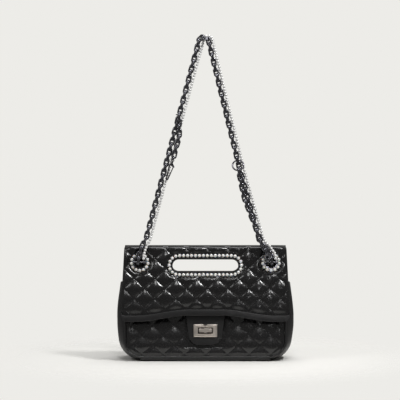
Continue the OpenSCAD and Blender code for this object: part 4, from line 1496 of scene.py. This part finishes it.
@dataclass(frozen=True)
class SoftLight:
    """A studio lamp aimed at the bag: a square soft box, or a round spot where it has a cone."""

    name: str
    place: tuple[float, float, float]
    size: float
    power: float
    cone: float = 0.0
    target: tuple[float, float, float] = (0.0, 0.0, 0.12)

    def build(self) -> None:
        """Adds the lamp."""
        data = bpy.data.lights.new(self.name, "SPOT" if self.cone else "AREA")
        if self.cone:
            data.spot_size = radians(self.cone)
            data.spot_blend = 1.0
            data.shadow_soft_size = self.size / 2
        else:
            data.shape = "SQUARE"
            data.size = self.size
        data.energy = self.power
        lamp = link_object(self.name, data)
        lamp.location = self.place
        lamp.visible_camera = False
        way = Vector(self.target) - Vector(self.place)
        lamp.rotation_euler = way.to_track_quat("-Z", "Y").to_euler()


LAMPS = (
    SoftLight("key_softbox", (0.8, -0.65, 1.5), 0.24, 14.0),
    SoftLight("top_softbox", (0.2, 0.7, 3.4), 2.0, 39.0),
    SoftLight("boom_softbox", (0.1, -1.9, 2.4), 0.5, 12.0),
    SoftLight("left_softbox", (-1.5, -1.0, 1.5), 0.6, 7.0),
    SoftLight("accent_spot", (0.15, -1.1, 0.54), 0.12, 5.0, 6.0, (0.095, -0.03, 0.13)),
)


@dataclass(frozen=True)
class Studio:
    """Camera, lamps, floor and backdrop colour, with lengths in metres."""

    backdrop: str = "#edece8"
    room: str = "#f4f3f0"
    room_light: float = 0.2
    floor_tone: str = "#f6f5f1"
    floor_fade: Pair = (0.13, 0.36)
    distance: float = 4.0
    elevation: float = 3.5
    target: tuple[float, float, float] = (-0.008, -0.02, 0.2396)
    frame_width: float = 0.5965
    sensor: float = 36.0

    def build(self) -> None:
        """Builds the studio."""
        bpy.context.scene.view_settings.view_transform = "Standard"
        self._camera()
        self._world()
        self._floor()
        for lamp in LAMPS:
            lamp.build()

    def _camera(self) -> None:
        """Adds the camera and makes it the scene's."""
        data = bpy.data.cameras.new("camera")
        data.sensor_width = self.sensor
        data.lens = self.sensor * self.distance / self.frame_width
        data.clip_end = 50.0
        camera = link_object("camera", data)
        tilt = radians(self.elevation)
        away = Vector((0.0, -cos(tilt), sin(tilt)))
        camera.location = Vector(self.target) + away * self.distance
        camera.rotation_euler = (-away).to_track_quat("-Z", "Y").to_euler()
        bpy.context.scene.camera = camera

    def _world(self) -> None:
        """Shows the backdrop's colour to the camera and lights the room softly."""
        world = bpy.data.worlds.new("studio")
        bpy.context.scene.world = world
        graph = Graph(world)
        rays = graph.node("LightPath").outputs
        seen = graph.math("MAXIMUM", rays["Is Camera Ray"], rays["Is Transmission Ray"])
        shown = graph.node("Background", {"Color": linear(self.backdrop), "Strength": 1.0})
        room = graph.node("Background", {"Color": linear(self.room), "Strength": self.room_light})
        graph.finish("OutputWorld", graph.mix(seen, room, shown))

    def _floor(self) -> None:
        """Adds a pale floor that keeps the bag's shadow and fades into the backdrop."""
        mesh = bmesh.new()
        bmesh.ops.create_grid(mesh, x_segments=2, y_segments=2, size=3.0)
        floor = mesh_object("studio_floor", mesh)
        made = bpy.data.materials.new("paper_sweep")
        graph = Graph(made)
        reach = graph.node("VectorMath", {0: graph.place()}, operation="LENGTH").outputs["Value"]
        near, far = self.floor_fade
        inputs = {"Value": reach, "From Min": near, "From Max": far}
        fade = graph.node("MapRange", inputs, interpolation_type="SMOOTHSTEP")
        paper = graph.node("BsdfDiffuse", {"Color": linear(self.floor_tone)})
        mixed = graph.mix(fade.outputs["Result"], paper, graph.node("BsdfTransparent"))
        graph.finish("OutputMaterial", mixed)
        floor.data.materials.append(made)


def main() -> None:
    """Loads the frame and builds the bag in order."""
    logging.basicConfig(level=logging.INFO, format="%(name)s %(message)s")
    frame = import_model()
    Studio().build()
    shop = Workshop(Finishes())
    Hardware(shop, frame).build()
    FlapLeather(shop).build()
    BodyLeather(shop).build()


if __name__ == "__main__":
    main()
